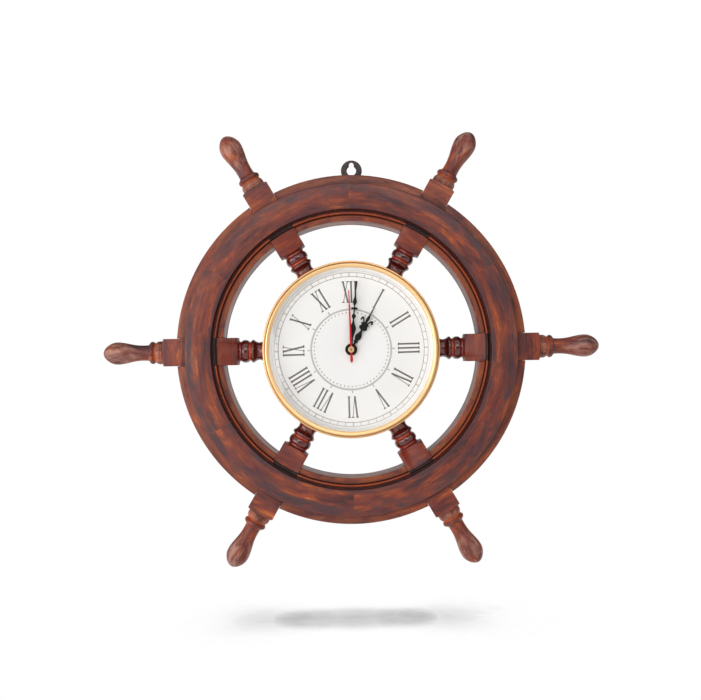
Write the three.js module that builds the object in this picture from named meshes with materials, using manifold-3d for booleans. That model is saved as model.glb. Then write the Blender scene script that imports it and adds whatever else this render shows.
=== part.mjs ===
// A six-spoked wooden ship's wheel with a brass-cased quartz clock in its hub.
// Millimetres. The model is built as it is seen from the front: x to the right, y up and z towards the
// viewer, measured from the middle plane of the spokes. One turn of the whole group then stands it up
// with +Z up and its face towards -Y.
import * as THREE from "three";
import Module from "manifold-3d";
import { mergeVertices } from "three/addons/utils/BufferGeometryUtils.js";

const wasm = await Module();
wasm.setup();

// Driving sizes of the wheel
const wheelDiameter = 457.2; // over opposite handle tips, 18 inches
const spokeCount = 6;
const barWidth = 25; // square bar that each spoke is turned from
const handleLength = 56.3; // turned stretch outside the square block
const balusterLength = 25.6; // turned stretch between the hub and the square block
const gripRadius = 10.3;
const gripNeckRadius = 7.1;
const ringRadius = 10.3; // turned ring at the foot of the grip
const collarRadius = 10.7; // turned collar against the square block
const beadRadius = 10.7; // the two beads of the baluster
const grooveRadius = 9.2;
const coveRadius = 8.2;
const footRadius = 11.4;
const shoulderFall = 2.3; // how far the block's lathe-cut shoulder falls back at its corners
const tenonRadius = 8;
const tenonLength = 20;
const rimThickness = 6.5; // front and rear rims
const rimOuterRadius = 151;
const frontRimWidth = 23.8;
const rearRimWidth = 33.6;
const rimBeadWidth = 4.1; // stepped bead inside the front rim
const rimBeadThickness = 2.7;
const felloeOuterRadius = 159.5;
const felloeInnerRadius = 117.4;
const felloeRecess = 1; // felloes set back from the blocks' front faces
const easing = 1.5; // eased outer edges of the rims and felloes
const hubRadius = 79;
const hubBore = 4;
const webThickness = 10; // wood left between the dial and the movement
const glueGap = 0.3; // between pieces that are glued, seated or cut to each other

// Driving sizes of the hanger
const hangerThickness = 1.6;
const hangerShift = 3.1; // to the right of the wheel's middle
const hangerHeadRadius = 9.9;
const hangerHeadHeight = 9; // centre of the round head above the felloe
const hangerTabWidth = 14;
const keyholeRadius = 4.4;
const keySlotWidth = 4.5;
const keySlotRise = 5.6; // from the hole's centre to the slot's
const screwRadius = 1.6;
const screwHeadRadius = 3.4;
const screwLength = 12;
const screwSpacing = 13;
const hangerFootMargin = 6; // of plate below the lower screw

// Driving sizes of the case, dial and hands
const panRadius = 75.8;
const panWall = 0.9;
const panBase = 1;
const panDepth = 9;
const dialThickness = 0.8;
const dialOpeningRadius = 71.6; // dial seen inside the spacer ring
const glassThickness = 2;
const bezelWall = 1.4;
const bezelLip = 2; // how far the bezel reaches over the glass
const flangeWidth = 3.4;
const flangeThickness = 1.7;
const nutThickness = 1.8;
const nutWidth = 9.6; // across its flats
const handThickness = 0.5;
const handSpacing = 0.9; // air between one hand and the next
const hourBossRadius = 5.5;
const minuteBossRadius = 4.2;
const secondBossRadius = 1.9;
const capRadius = 2.8;
const capHeight = 0.9;
const hourHandLength = 41.8;
const minuteHandLength = 61.6;
const secondHandLength = 53.4;
const secondTailLength = 12.1;
const hourAngle = 29.8; // degrees clockwise of twelve
const minuteAngle = 5.4;
const secondAngle = -1.4;

// Driving sizes of the movement
const runGap = 0.35; // around pieces that turn
const arborRadius = 0.6;
const tubeWall = 0.55;
const bushWall = 0.65;
const shellWall = 1.5;
const shellDepth = 16; // the movement from front to back
const washerRadius = 9;
const washerThickness = 0.8;
const wheelThickness = 0.8;
const pinionThickness = 1.2;
const levelGap = 0.5; // between the wheels' levels
const bridgeThickness = 0.6;
const trainModule = 0.4;
const motionModule = 0.55;
const magnetRadius = 3;
const magnetHeight = 2.2;
const statorThickness = 1.2;
const coilRadius = 3.8;
const coilLength = 22;
const coreWidth = 2.4;
const boardWidth = 8.5;
const boardHeight = 24;
const boardThickness = 0.8;
const crystalRadius = 1;
const crystalLength = 6;
const batteryRadius = 7.25;
const batteryLength = 50.5;
const batteryNubRadius = 2.7;
const batteryNubLength = 1;
const contactThickness = 0.5;
const knobRadius = 6;
const knobHeight = 4.5;
const knobShaftRadius = 1.2;

// Teeth. Rotor to seconds is 30 to 1, seconds to minutes 60 to 1, and minutes to hours 12 to 1
const pinionTeeth = 6;
const fifthTeeth = 30;
const secondTeeth = 36;
const thirdTeeth = 45;
const centreTeeth = 48;
const cannonTeeth = 8;
const reverserTeeth = 24;
const reverserPinionTeeth = 6;
const hourTeeth = 24;
const addendum = 0.8; // in modules
const dedendum = 1.15;
const rootShare = 0.6; // of a tooth's pitch that the tooth fills at its root, and at its tip
const tipShare = 0.2;

// Facets
const ringFacets = 48;
const turnedFacets = 12;
const smallFacets = 12;
const bossFacets = 18;

const degree = Math.PI / 180;
const wheelRadius = wheelDiameter / 2;
const frontRimInnerRadius = rimOuterRadius - frontRimWidth;
const rearRimInnerRadius = rimOuterRadius - rearRimWidth;
const blockFront = barWidth / 2;
const rimBack = blockFront + glueGap;
const wheelFront = rimBack + rimThickness; // front faces of the front rim and the hub
const spokeStep = 360 / spokeCount;

// Closed geometry: only positions, shared corners merged and collapsed faces dropped
function closed(geometry) {
  const bare = geometry.index ? geometry.toNonIndexed() : geometry.clone();
  for (const name of Object.keys(bare.attributes)) {
    if (name !== "position") bare.deleteAttribute(name);
  }
  const merged = mergeVertices(bare, 1e-4);
  const kept = [];
  for (let i = 0; i < merged.index.count; i += 3) {
    const [a, b, c] = [merged.index.getX(i), merged.index.getX(i + 1), merged.index.getX(i + 2)];
    if (a !== b && b !== c && c !== a) kept.push(a, b, c);
  }
  merged.setIndex(kept);
  return merged;
}

function solid(geometry) {
  const shape = closed(geometry);
  const vertProperties = new Float32Array(shape.attributes.position.array);
  const triVerts = new Uint32Array(shape.index.array);
  return new wasm.Manifold(new wasm.Mesh({ numProp: 3, vertProperties, triVerts }));
}

function geometryOf(body) {
  const mesh = body.getMesh();
  const positions = new Float32Array(mesh.numVert * 3);
  for (let i = 0; i < mesh.numVert; i++) {
    positions.set(mesh.vertProperties.subarray(i * mesh.numProp, i * mesh.numProp + 3), i * 3);
  }
  const geometry = new THREE.BufferGeometry();
  geometry.setAttribute("position", new THREE.BufferAttribute(positions, 3));
  geometry.setIndex(new THREE.BufferAttribute(mesh.triVerts, 1));
  return geometry;
}

function joined(...geometries) {
  return geometryOf(geometries.map(solid).reduce((whole, piece) => whole.add(piece)));
}

function cut(geometry, ...cutters) {
  return geometryOf(cutters.map(solid).reduce((whole, piece) => whole.subtract(piece), solid(geometry)));
}

function common(geometry, other) {
  return geometryOf(solid(geometry).intersect(solid(other)));
}

// A turned body about the z axis, from [radius, z] corners that run outwards, forwards and back in
function turned(corners, facets) {
  const outline = corners.map(([radius, z]) => new THREE.Vector2(radius, z));
  const onAxis = corners[0][0] === 0 && corners[corners.length - 1][0] === 0;
  if (!onAxis) outline.push(outline[0].clone());
  return new THREE.LatheGeometry(outline, facets).rotateX(Math.PI / 2);
}

function rod(radius, back, front, facets = smallFacets) {
  return turned([[0, back], [radius, back], [radius, front], [0, front]], facets);
}

function tube(bore, radius, back, front, facets = smallFacets) {
  return turned([[bore, back], [radius, back], [radius, front], [bore, front]], facets);
}

function plate(shape, back, front, curveSegments = 2) {
  const options = { depth: front - back, bevelEnabled: false, curveSegments };
  return new THREE.ExtrudeGeometry(shape, options).translate(0, 0, back);
}

function polygon(points) {
  return new THREE.Shape(points.map(([x, y]) => new THREE.Vector2(x, y)));
}

function rectangle(left, bottom, right, top) {
  return polygon([[left, bottom], [right, bottom], [right, top], [left, top]]);
}

function circlePoints(x, y, radius, facets) {
  const corner = (i) => (2 * Math.PI * i) / facets;
  return Array.from({ length: facets }, (_, i) => [
    x + radius * Math.cos(corner(i)),
    y + radius * Math.sin(corner(i)),
  ]);
}

function hole(shape, x, y, radius, facets = 8) {
  shape.holes.push(polygon(circlePoints(x, y, radius, facets).reverse()));
}

function along(angle, distance) {
  return [distance * Math.cos(angle * degree), distance * Math.sin(angle * degree)];
}

// Materials
function finish(color, roughness, metalness = 0) {
  return new THREE.MeshStandardMaterial({ color, roughness, metalness });
}

const rimWood = finish("#7a4a40", 0.45);
const spokeWood = finish("#7d4338", 0.4);
const brass = finish("#d8ab62", 0.22, 1);
const darkMetal = finish("#2b2826", 0.5, 0.6);
const handBlack = finish("#141313", 0.4);
const handRed = finish("#c4201b", 0.4);
const dialWhite = finish("#f6f5f1", 0.55);
const spacerWhite = finish("#ece9e4", 0.5);
const clearGlass = new THREE.MeshStandardMaterial({
  color: "#ffffff",
  roughness: 0.02,
  transparent: true,
  opacity: 0.15,
});
const blackPlastic = finish("#1c1c1d", 0.5);
const gearPlastic = finish("#e6e2d4", 0.5);
const steel = finish("#b9bbbd", 0.3, 1);
const copper = finish("#b4652f", 0.35, 1);
const iron = finish("#6d6f72", 0.5, 1);
const boardGreen = finish("#2d6b3c", 0.5);
const batteryJacket = finish("#3a4650", 0.35);
const blackRubber = finish("#202020", 0.8);

const clock = new THREE.Group();

function add(name, geometry, material) {
  const mesh = new THREE.Mesh(closed(geometry), material);
  mesh.name = name;
  clock.add(mesh);
  return mesh;
}

// Turned outlines run along the spoke: [distance from the wheel's axis, radius]

// Quarter-rounds: one rises steeply and levels off, the other starts level and drops
function rise(x0, r0, x1, r1, steps) {
  return Array.from({ length: steps }, (_, i) => {
    const turn = ((i + 1) / steps) * (Math.PI / 2);
    return [x1 - (x1 - x0) * Math.cos(turn), r0 + (r1 - r0) * Math.sin(turn)];
  });
}

function fall(x0, r0, x1, r1, steps) {
  return Array.from({ length: steps }, (_, i) => {
    const turn = ((i + 1) / steps) * (Math.PI / 2);
    return [x0 + (x1 - x0) * Math.sin(turn), r1 + (r0 - r1) * Math.cos(turn)];
  });
}

const footPlane = Math.sqrt(hubRadius ** 2 - (footRadius + glueGap) ** 2) - glueGap / 2;
const blockInner = footPlane + balusterLength;
const blockOuter = wheelRadius - handleLength;
const blockClear = barWidth * 0.75; // outside the block's corners

// Between the hub and the block: a foot, a cove, a small bead, a groove, a large bead and a groove
function balusterOutline() {
  const at = (share) => footPlane + share * balusterLength;
  const coveEnd = 0.42;
  const coveLow = 0.25;
  const smallBeadEnd = 0.575;
  const largeBeadEnd = 0.93;
  const cove = [0.12, coveLow, coveEnd].map((share) => {
    const edge = share < coveLow ? 0 : coveEnd;
    const top = share < coveLow ? footRadius : grooveRadius + (beadRadius - grooveRadius) / 2;
    const bend = ((share - coveLow) / (edge - coveLow)) ** 2;
    return [at(share), coveRadius + (top - coveRadius) * bend];
  });
  const smallCrest = at((coveEnd + smallBeadEnd) / 2);
  const largeCrest = at(smallBeadEnd + 0.55 * (largeBeadEnd - smallBeadEnd));
  return [
    [footPlane, footRadius],
    ...cove,
    [smallCrest, beadRadius],
    [at(smallBeadEnd), grooveRadius],
    ...rise(at(smallBeadEnd), grooveRadius, largeCrest, beadRadius, 2),
    ...fall(largeCrest, beadRadius, at(largeBeadEnd), grooveRadius, 2),
    [at(0.97), grooveRadius],
  ];
}

// Outside the block: a collar, a groove, a ring and the grip, which swells and ends round
function handleOutline() {
  const at = (share) => blockOuter + share * handleLength;
  const grooveAt = 0.138;
  const ringAt = 0.198;
  const gripStart = 0.265;
  const swellStart = 0.34;
  const swellTop = 0.762;
  const swell = [0.25, 0.5, 0.75, 1].map((t) => {
    const ease = (1 - Math.cos(Math.PI * t)) / 2;
    const x = at(swellStart + t * (swellTop - swellStart));
    return [x, gripNeckRadius + (gripRadius - gripNeckRadius) * ease];
  });
  const tip = [0.45, 0.75, 0.93].map((t) => {
    return [at(swellTop + t * (1 - swellTop)), gripRadius * (1 - t * t) ** 0.55];
  });
  return [
    [at(0.01), collarRadius],
    [at(0.08), collarRadius - 0.2],
    [at(grooveAt), grooveRadius],
    [at((grooveAt + ringAt) / 2), (grooveRadius + 2 * ringRadius) / 3],
    [at(ringAt), ringRadius],
    [at(0.232), (ringRadius + gripNeckRadius) / 2 - 0.2],
    [at(gripStart), gripNeckRadius],
    [at(swellStart), gripNeckRadius],
    ...swell,
    ...tip,
    [wheelRadius, 0],
  ];
}

function spokeGeometry() {
  const tenonEnd = footPlane - tenonLength;
  const outline = [
    [tenonEnd, 0],
    [tenonEnd, tenonRadius],
    [footPlane, tenonRadius],
    ...balusterOutline(),
    [blockInner, blockFront],
    [blockInner + shoulderFall, blockClear],
    [blockOuter - shoulderFall, blockClear],
    [blockOuter, blockFront],
    ...handleOutline(),
  ];
  const whole = turned(outline.map(([x, radius]) => [radius, x]), turnedFacets).rotateY(Math.PI / 2);
  const length = wheelRadius + 2;
  const bar = new THREE.BoxGeometry(length, barWidth, barWidth).translate(length / 2, 0, 0);
  return common(whole, bar);
}

// The space between two lines that run beside neighbouring rays, each the offset away from its ray
function wedge(startAngle, endAngle, offset) {
  const middle = (startAngle + endAngle) / 2;
  const [x, y] = along(middle, offset / Math.sin(((endAngle - startAngle) / 2) * degree));
  const reach = 2 * felloeOuterRadius;
  const [x1, y1] = along(startAngle, reach);
  const [x2, y2] = along(endAngle, reach);
  const [x3, y3] = along(middle, reach);
  const outline = [[x, y], [x + x1, y + y1], [x + x3, y + y3], [x + x2, y + y2]];
  return plate(polygon(outline), -2 * wheelFront, 2 * wheelFront);
}

const frontRimSection = [
  [frontRimInnerRadius - rimBeadWidth + 0.6, rimBack],
  [rimOuterRadius, rimBack],
  [rimOuterRadius, wheelFront - easing],
  [rimOuterRadius - easing, wheelFront],
  [frontRimInnerRadius, wheelFront],
  [frontRimInnerRadius, rimBack + rimBeadThickness],
  [frontRimInnerRadius - rimBeadWidth + 0.6, rimBack + rimBeadThickness],
  [frontRimInnerRadius - rimBeadWidth, rimBack + rimBeadThickness / 2],
];

const felloeFront = blockFront - felloeRecess;
const felloeSection = [
  [felloeInnerRadius, -blockFront],
  [felloeOuterRadius - easing, -blockFront],
  [felloeOuterRadius, easing - blockFront],
  [felloeOuterRadius, felloeFront - easing],
  [felloeOuterRadius - easing, felloeFront],
  [felloeInnerRadius + easing / 2, felloeFront],
  [felloeInnerRadius, felloeFront - easing / 2],
];

const rearRimSection = [
  [rearRimInnerRadius, -wheelFront],
  [rimOuterRadius - easing, -wheelFront],
  [rimOuterRadius, easing - wheelFront],
  [rimOuterRadius, -rimBack],
  [rearRimInnerRadius, -rimBack],
];

// Hanger screws: countersunk, driven from behind through the plate into the rear rim and the felloe
const hangerFront = -wheelFront - glueGap;
const hangerBack = hangerFront - hangerThickness;
const rimMiddle = (rimOuterRadius + rearRimInnerRadius) / 2;
const screwHeights = [rimMiddle + screwSpacing / 2, rimMiddle - screwSpacing / 2];

function screwGeometry(height, clearance) {
  const end = hangerBack + screwLength + clearance;
  const outline = [
    [0, hangerBack - clearance],
    [screwHeadRadius + clearance, hangerBack - clearance],
    [screwHeadRadius + clearance, hangerBack],
    [screwRadius + clearance, hangerBack + screwHeadRadius - screwRadius],
    [screwRadius + clearance, end - screwRadius],
    [0, end],
  ];
  if (clearance === 0) outline.splice(1, 1);
  return turned(outline, smallFacets).translate(hangerShift, height, 0);
}

function addWheel() {
  const spoke = spokeGeometry();
  const frontRing = turned(frontRimSection, ringFacets);
  const felloeRing = turned(felloeSection, ringFacets);
  const rearRing = turned(rearRimSection, ringFacets);
  const screwHoles = screwHeights.map((height) => screwGeometry(height, glueGap));
  const screwed = (middle) => Math.abs(middle - 90) < spokeStep / 2;
  for (let i = 0; i < spokeCount; i++) {
    const angle = i * spokeStep;
    const number = i + 1;
    add(`spoke_${number}`, spoke.clone().rotateZ(angle * degree), spokeWood);
    const rimEnds = [angle - spokeStep / 2, angle + spokeStep / 2];
    add(`front_rim_${number}`, common(frontRing, wedge(...rimEnds, glueGap / 2)), rimWood);
    // Felloes fill the spaces between the blocks, and the rear rim's joints fall on the spokes
    const middle = angle + spokeStep / 2;
    const blockGap = blockFront + glueGap;
    const felloe = common(felloeRing, wedge(angle, angle + spokeStep, blockGap));
    const rearRim = common(rearRing, wedge(angle, angle + spokeStep, glueGap / 2));
    add(`felloe_${number}`, screwed(middle) ? cut(felloe, ...screwHoles) : felloe, rimWood);
    add(`rear_rim_${number}`, screwed(middle) ? cut(rearRim, ...screwHoles) : rearRim, rimWood);
  }
}

function addHanger() {
  const headHeight = felloeOuterRadius + hangerHeadHeight;
  const tabFoot = screwHeights[1] - hangerFootMargin;
  const halfTab = hangerTabWidth / 2;
  const halfSlot = keySlotWidth / 2;
  const tabTurn = Math.asin(halfTab / hangerHeadRadius);
  const shape = new THREE.Shape();
  shape.moveTo(-halfTab, tabFoot);
  shape.lineTo(halfTab, tabFoot);
  shape.absarc(0, headHeight, hangerHeadRadius, tabTurn - Math.PI / 2, 1.5 * Math.PI - tabTurn, false);
  // Keyhole: the round hole below and the narrow slot above it
  const keyhole = new THREE.Path();
  const slotTurn = Math.asin(halfSlot / keyholeRadius);
  keyhole.absarc(0, headHeight, keyholeRadius, Math.PI / 2 + slotTurn, 2.5 * Math.PI - slotTurn, false);
  keyhole.absarc(0, headHeight + keySlotRise, halfSlot, 0, Math.PI, false);
  shape.holes.push(keyhole);
  const bare = plate(shape, hangerBack, hangerFront, 12).translate(hangerShift, 0, 0);
  add("hanger_plate", cut(bare, ...screwHeights.map((height) => screwGeometry(height, glueGap))), darkMetal);
  screwHeights.forEach((height, i) => add(`hanger_screw_${i + 1}`, screwGeometry(height, 0), brass));
}

// Places in the movement, all measured from its front and the arbors' centres
const webBack = wheelFront - webThickness;
const washerFront = webBack - glueGap;
const shellFront = washerFront - washerThickness - glueGap;
const shellBack = shellFront - shellDepth;
const plateBack = shellFront - shellWall;
const coverFront = shellBack + shellWall;

const minuteBore = arborRadius + runGap;
const minuteTubeRadius = minuteBore + tubeWall;
const hourBore = minuteTubeRadius + runGap;
const hourTubeRadius = hourBore + tubeWall;
const bushBore = hourTubeRadius + runGap;
const bushRadius = bushBore + bushWall;

const pitchRadius = (teeth, module) => (teeth * module) / 2;
const thirdDistance = pitchRadius(pinionTeeth + thirdTeeth, trainModule);
const centreModule = (2 * thirdDistance) / (pinionTeeth + centreTeeth);
const reverserDistance = pitchRadius(cannonTeeth + reverserTeeth, motionModule);
const hourModule = (2 * reverserDistance) / (reverserPinionTeeth + hourTeeth);
const centreTip = pitchRadius(centreTeeth, centreModule) + addendum * centreModule;

const thirdDirection = 150;
const reverserDirection = 30;
const fifthDirection = 60;
const rotorDirection = 100; // from the fifth wheel
const knobDirection = -60; // from the reverser wheel
const offsetFrom = ([x, y], angle, distance) => {
  const [dx, dy] = along(angle, distance);
  return [x + dx, y + dy];
};
const centre = [0, 0];
const thirdAt = offsetFrom(centre, thirdDirection, thirdDistance);
const reverserAt = offsetFrom(centre, reverserDirection, reverserDistance);
const fifthAt = offsetFrom(centre, fifthDirection, pitchRadius(pinionTeeth + secondTeeth, trainModule));
const rotorAt = offsetFrom(fifthAt, rotorDirection, pitchRadius(pinionTeeth + fifthTeeth, trainModule));
const knobAt = offsetFrom(reverserAt, knobDirection, reverserDistance);

// Levels, each the back of its wheel, going back from the front plate
const hourLevel = plateBack - levelGap - wheelThickness;
const reverserLevel = hourLevel - 2 * levelGap - wheelThickness;
const centreLevel = reverserLevel - levelGap - wheelThickness;
const bridgeBack = centreLevel - levelGap - bridgeThickness;
const thirdLevel = bridgeBack - levelGap - wheelThickness;
const secondLevel = thirdLevel - 1.2 * levelGap - wheelThickness;
const magnetBack = secondLevel - magnetHeight - runGap;
const statorBack = magnetBack + (magnetHeight - statorThickness) / 2;
const fifthLevel = magnetBack - levelGap - wheelThickness;

// The coil lies above the rotor and the battery below the wheels, and the shell closes round both
const coilHeight = rotorAt[1] + magnetRadius + coilRadius + 2 * runGap;
const shellTop = coilHeight + coilRadius + 2 * runGap;
const partitionTop = -centreTip - 3 * runGap;
const partitionBottom = partitionTop - 1;
const batteryHeight = partitionBottom - batteryRadius - runGap;
const shellBottom = batteryHeight - batteryRadius - runGap;
const shellSide = batteryLength / 2 + 2 * contactThickness + glueGap;
const batteryDepth = plateBack - glueGap - batteryRadius;

function shellOutline(wall) {
  return rectangle(-shellSide - wall, shellBottom - wall, shellSide + wall, shellTop + wall);
}

function socketCutter() {
  const outline = [
    [0, footPlane - tenonLength - glueGap],
    [tenonRadius + glueGap, footPlane - tenonLength - glueGap],
    [tenonRadius + glueGap, footPlane - glueGap],
    [footRadius + glueGap, footPlane - glueGap],
    [footRadius + glueGap, hubRadius + 2],
    [0, hubRadius + 2],
  ];
  return turned(outline, turnedFacets).rotateY(Math.PI / 2);
}

function addHub() {
  const disc = turned([
    [hubBore, -wheelFront],
    [hubRadius - easing, -wheelFront],
    [hubRadius, easing - wheelFront],
    [hubRadius, wheelFront],
    [hubBore, wheelFront],
  ], ringFacets);
  const pocket = plate(shellOutline(shellWall + 1), -wheelFront - 2, webBack);
  const sockets = Array.from({ length: spokeCount }, (_, i) => {
    return socketCutter().rotateZ(i * spokeStep * degree);
  });
  add("hub", cut(disc, pocket, ...sockets), rimWood);
}

const panBack = wheelFront + glueGap;
const dialBack = panBack + panBase + glueGap;
const dialFront = dialBack + dialThickness;
const spacerBack = dialFront + glueGap;
const spacerFront = panBack + panDepth + 0.4;
const glassBack = spacerFront + glueGap;
const lipBack = glassBack + glassThickness + glueGap;
const spacerRadius = panRadius - panWall - glueGap;
const glassRadius = spacerRadius + glueGap;
const bezelSkirtRadius = panRadius + glueGap;
const bezelInnerWall = glassRadius + glueGap;
const bezelOpening = bezelInnerWall - bezelLip + 0.6;
const bezelFront = lipBack + 2.3;

// The polished brass band stands forward, and drops to a groove and a thin flange
function bezelGeometry() {
  const band = bezelSkirtRadius + bezelWall;
  const crest = (bezelOpening + band) / 2;
  const flangeRadius = band + flangeWidth - bezelWall / 2;
  const section = [
    [bezelSkirtRadius, panBack],
    [flangeRadius, panBack],
    [flangeRadius, panBack + 0.7 * flangeThickness],
    [flangeRadius - 0.7, panBack + flangeThickness],
    [band + 0.3, panBack + 0.8 * flangeThickness],
    [band, bezelFront - 2.6],
    [(band + crest) / 2, bezelFront - 0.7],
    [crest, bezelFront],
    [(bezelOpening + crest) / 2 - 0.3, bezelFront - 0.5],
    [bezelOpening, bezelFront - 1.4],
    [bezelOpening, lipBack],
    [bezelInnerWall, lipBack],
    [bezelInnerWall, spacerFront],
    [bezelSkirtRadius, spacerFront],
  ];
  return turned(section, ringFacets);
}

function addCase() {
  const pan = [
    [hubBore, panBack],
    [panRadius, panBack],
    [panRadius, panBack + panDepth],
    [panRadius - panWall, panBack + panDepth],
    [panRadius - panWall, panBack + panBase],
    [hubBore, panBack + panBase],
  ];
  add("case_pan", turned(pan, ringFacets), brass);
  add("dial", tube(hubBore, spacerRadius, dialBack, dialFront, ringFacets), dialWhite);
  const spacer = [
    [dialOpeningRadius, spacerBack],
    [spacerRadius, spacerBack],
    [spacerRadius, spacerFront],
    [bezelOpening, spacerFront],
  ];
  add("spacer_ring", turned(spacer, ringFacets), spacerWhite);
  add("glass", rod(glassRadius, glassBack, glassBack + glassThickness, ringFacets), clearGlass);
  add("bezel", bezelGeometry(), brass);
}

// Hands, built pointing at twelve. Each blade is half an outline, [half width, height], and its mirror
const nutFront = dialFront + glueGap + nutThickness;
const bushFront = nutFront + glueGap;
const hourHandBack = bushFront + glueGap;
const minuteHandBack = hourHandBack + handThickness + handSpacing;
const secondHandBack = minuteHandBack + handThickness + handSpacing;
const capBack = secondHandBack + handThickness + glueGap;

function blade(half, back) {
  const mirrored = half.map(([x, y]) => [-x, y]).reverse();
  return plate(polygon([...half, ...mirrored]), back, back + handThickness);
}

function hand(half, bossRadius, bore, back, clockwise) {
  const boss = tube(bore, bossRadius, back, back + handThickness, bossFacets);
  const opened = cut(blade(half, back), rod(bore, back - 1, back + handThickness + 1, bossFacets));
  return joined(opened, boss).rotateZ(-clockwise * degree);
}

function minuteOutline() {
  const at = (share) => share * minuteHandLength;
  return [
    [1, minuteBossRadius * 0.8], [1.1, at(0.12)], [1.6, at(0.2)], [1.9, at(0.28)], [1.5, at(0.32)],
    [0.8, at(0.39)], [0.6, at(0.45)], [1.2, at(0.465)], [1.8, at(0.485)], [1.2, at(0.51)],
    [0.6, at(0.53)], [0.6, at(0.59)], [2.6, at(0.59)], [3, at(0.6)], [2.6, at(0.61)],
    [0.6, at(0.61)], [0.6, at(0.65)], [1.9, at(0.7)], [0.7, at(0.77)], [0.5, at(0.83)],
    [0.9, at(0.97)], [0.9, at(1)],
  ];
}

// The hour hand has a small barbed leaf and a flower head with two scrolls
function hourOutline() {
  const at = (share) => share * hourHandLength;
  return [
    [1, hourBossRadius * 0.9], [1.1, at(0.16)], [2.6, at(0.195)], [1.2, at(0.21)], [2.1, at(0.27)],
    [2.2, at(0.31)], [1.4, at(0.39)], [0.6, at(0.46)], [2.3, at(0.48)], [4.1, at(0.5)],
    [4.6, at(0.54)], [3.5, at(0.56)], [5.2, at(0.59)], [4.1, at(0.62)], [2.9, at(0.63)],
    [3.8, at(0.655)], [6, at(0.68)], [6.8, at(0.73)], [5.8, at(0.755)], [4.8, at(0.735)],
    [5, at(0.71)], [3.8, at(0.69)], [2, at(0.66)], [0.8, at(0.65)], [1.4, at(0.72)],
    [1.7, at(0.775)], [0.8, at(0.83)], [0.5, at(0.87)], [0.5, at(1)],
  ];
}

function secondOutline() {
  return [
    [0.2, -secondTailLength], [1.2, -0.88 * secondTailLength], [1.1, -0.6 * secondTailLength],
    [0.8, -secondBossRadius], [0.9, secondBossRadius], [0.4, secondHandLength],
  ];
}

function addHands() {
  const hourBoreFit = hourTubeRadius + glueGap;
  const minuteBoreFit = minuteTubeRadius + glueGap;
  const secondBoreFit = arborRadius + glueGap;
  const hour = hand(hourOutline(), hourBossRadius, hourBoreFit, hourHandBack, hourAngle);
  const minute = hand(minuteOutline(), minuteBossRadius, minuteBoreFit, minuteHandBack, minuteAngle);
  const second = hand(secondOutline(), secondBossRadius, secondBoreFit, secondHandBack, secondAngle);
  add("hour_hand", hour, handBlack);
  add("minute_hand", minute, handBlack);
  add("second_hand", second, handRed);
  const cap = tube(secondBoreFit, capRadius, capBack, capBack + capHeight, bossFacets);
  add("centre_cap", cap, brass);
  const nut = polygon(circlePoints(0, 0, nutWidth / Math.sqrt(3), 6));
  hole(nut, 0, 0, bushRadius + glueGap, smallFacets);
  add("hex_nut", plate(nut, dialFront + glueGap, nutFront), brass);
  const washer = tube(hubBore, washerRadius, washerFront - washerThickness, washerFront, bossFacets);
  add("rubber_washer", washer, blackRubber);
}

// A toothed disc with a tooth centred on the phase angle, in degrees
function toothed(teeth, module, phase, back, thickness, bore = 0) {
  const tip = pitchRadius(teeth, module) + addendum * module;
  const root = pitchRadius(teeth, module) - dedendum * module;
  const pitch = 360 / teeth;
  const points = [];
  for (let i = 0; i < teeth; i++) {
    const middle = phase + i * pitch;
    points.push(along(middle - (rootShare * pitch) / 2, root));
    points.push(along(middle - (tipShare * pitch) / 2, tip));
    points.push(along(middle + (tipShare * pitch) / 2, tip));
    points.push(along(middle + (rootShare * pitch) / 2, root));
  }
  const shape = polygon(points);
  if (bore > 0) hole(shape, 0, 0, bore, smallFacets);
  return plate(shape, back, back + thickness);
}

// The phase that puts a gap of the second gear over the teeth of the first
function meshed(firstPhase, firstTeeth, direction, secondTeethCount) {
  const lead = firstPhase - direction;
  return direction + 180 + 180 / secondTeethCount - (lead * firstTeeth) / secondTeethCount;
}

const directionOf = ([x0, y0], [x1, y1]) => Math.atan2(y1 - y0, x1 - x0) / degree;
const pinionOverlap = (pinionThickness - wheelThickness) / 2;
const pivotBack = coverFront - shellWall / 2;
const pivotFront = plateBack + shellWall / 2;

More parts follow.
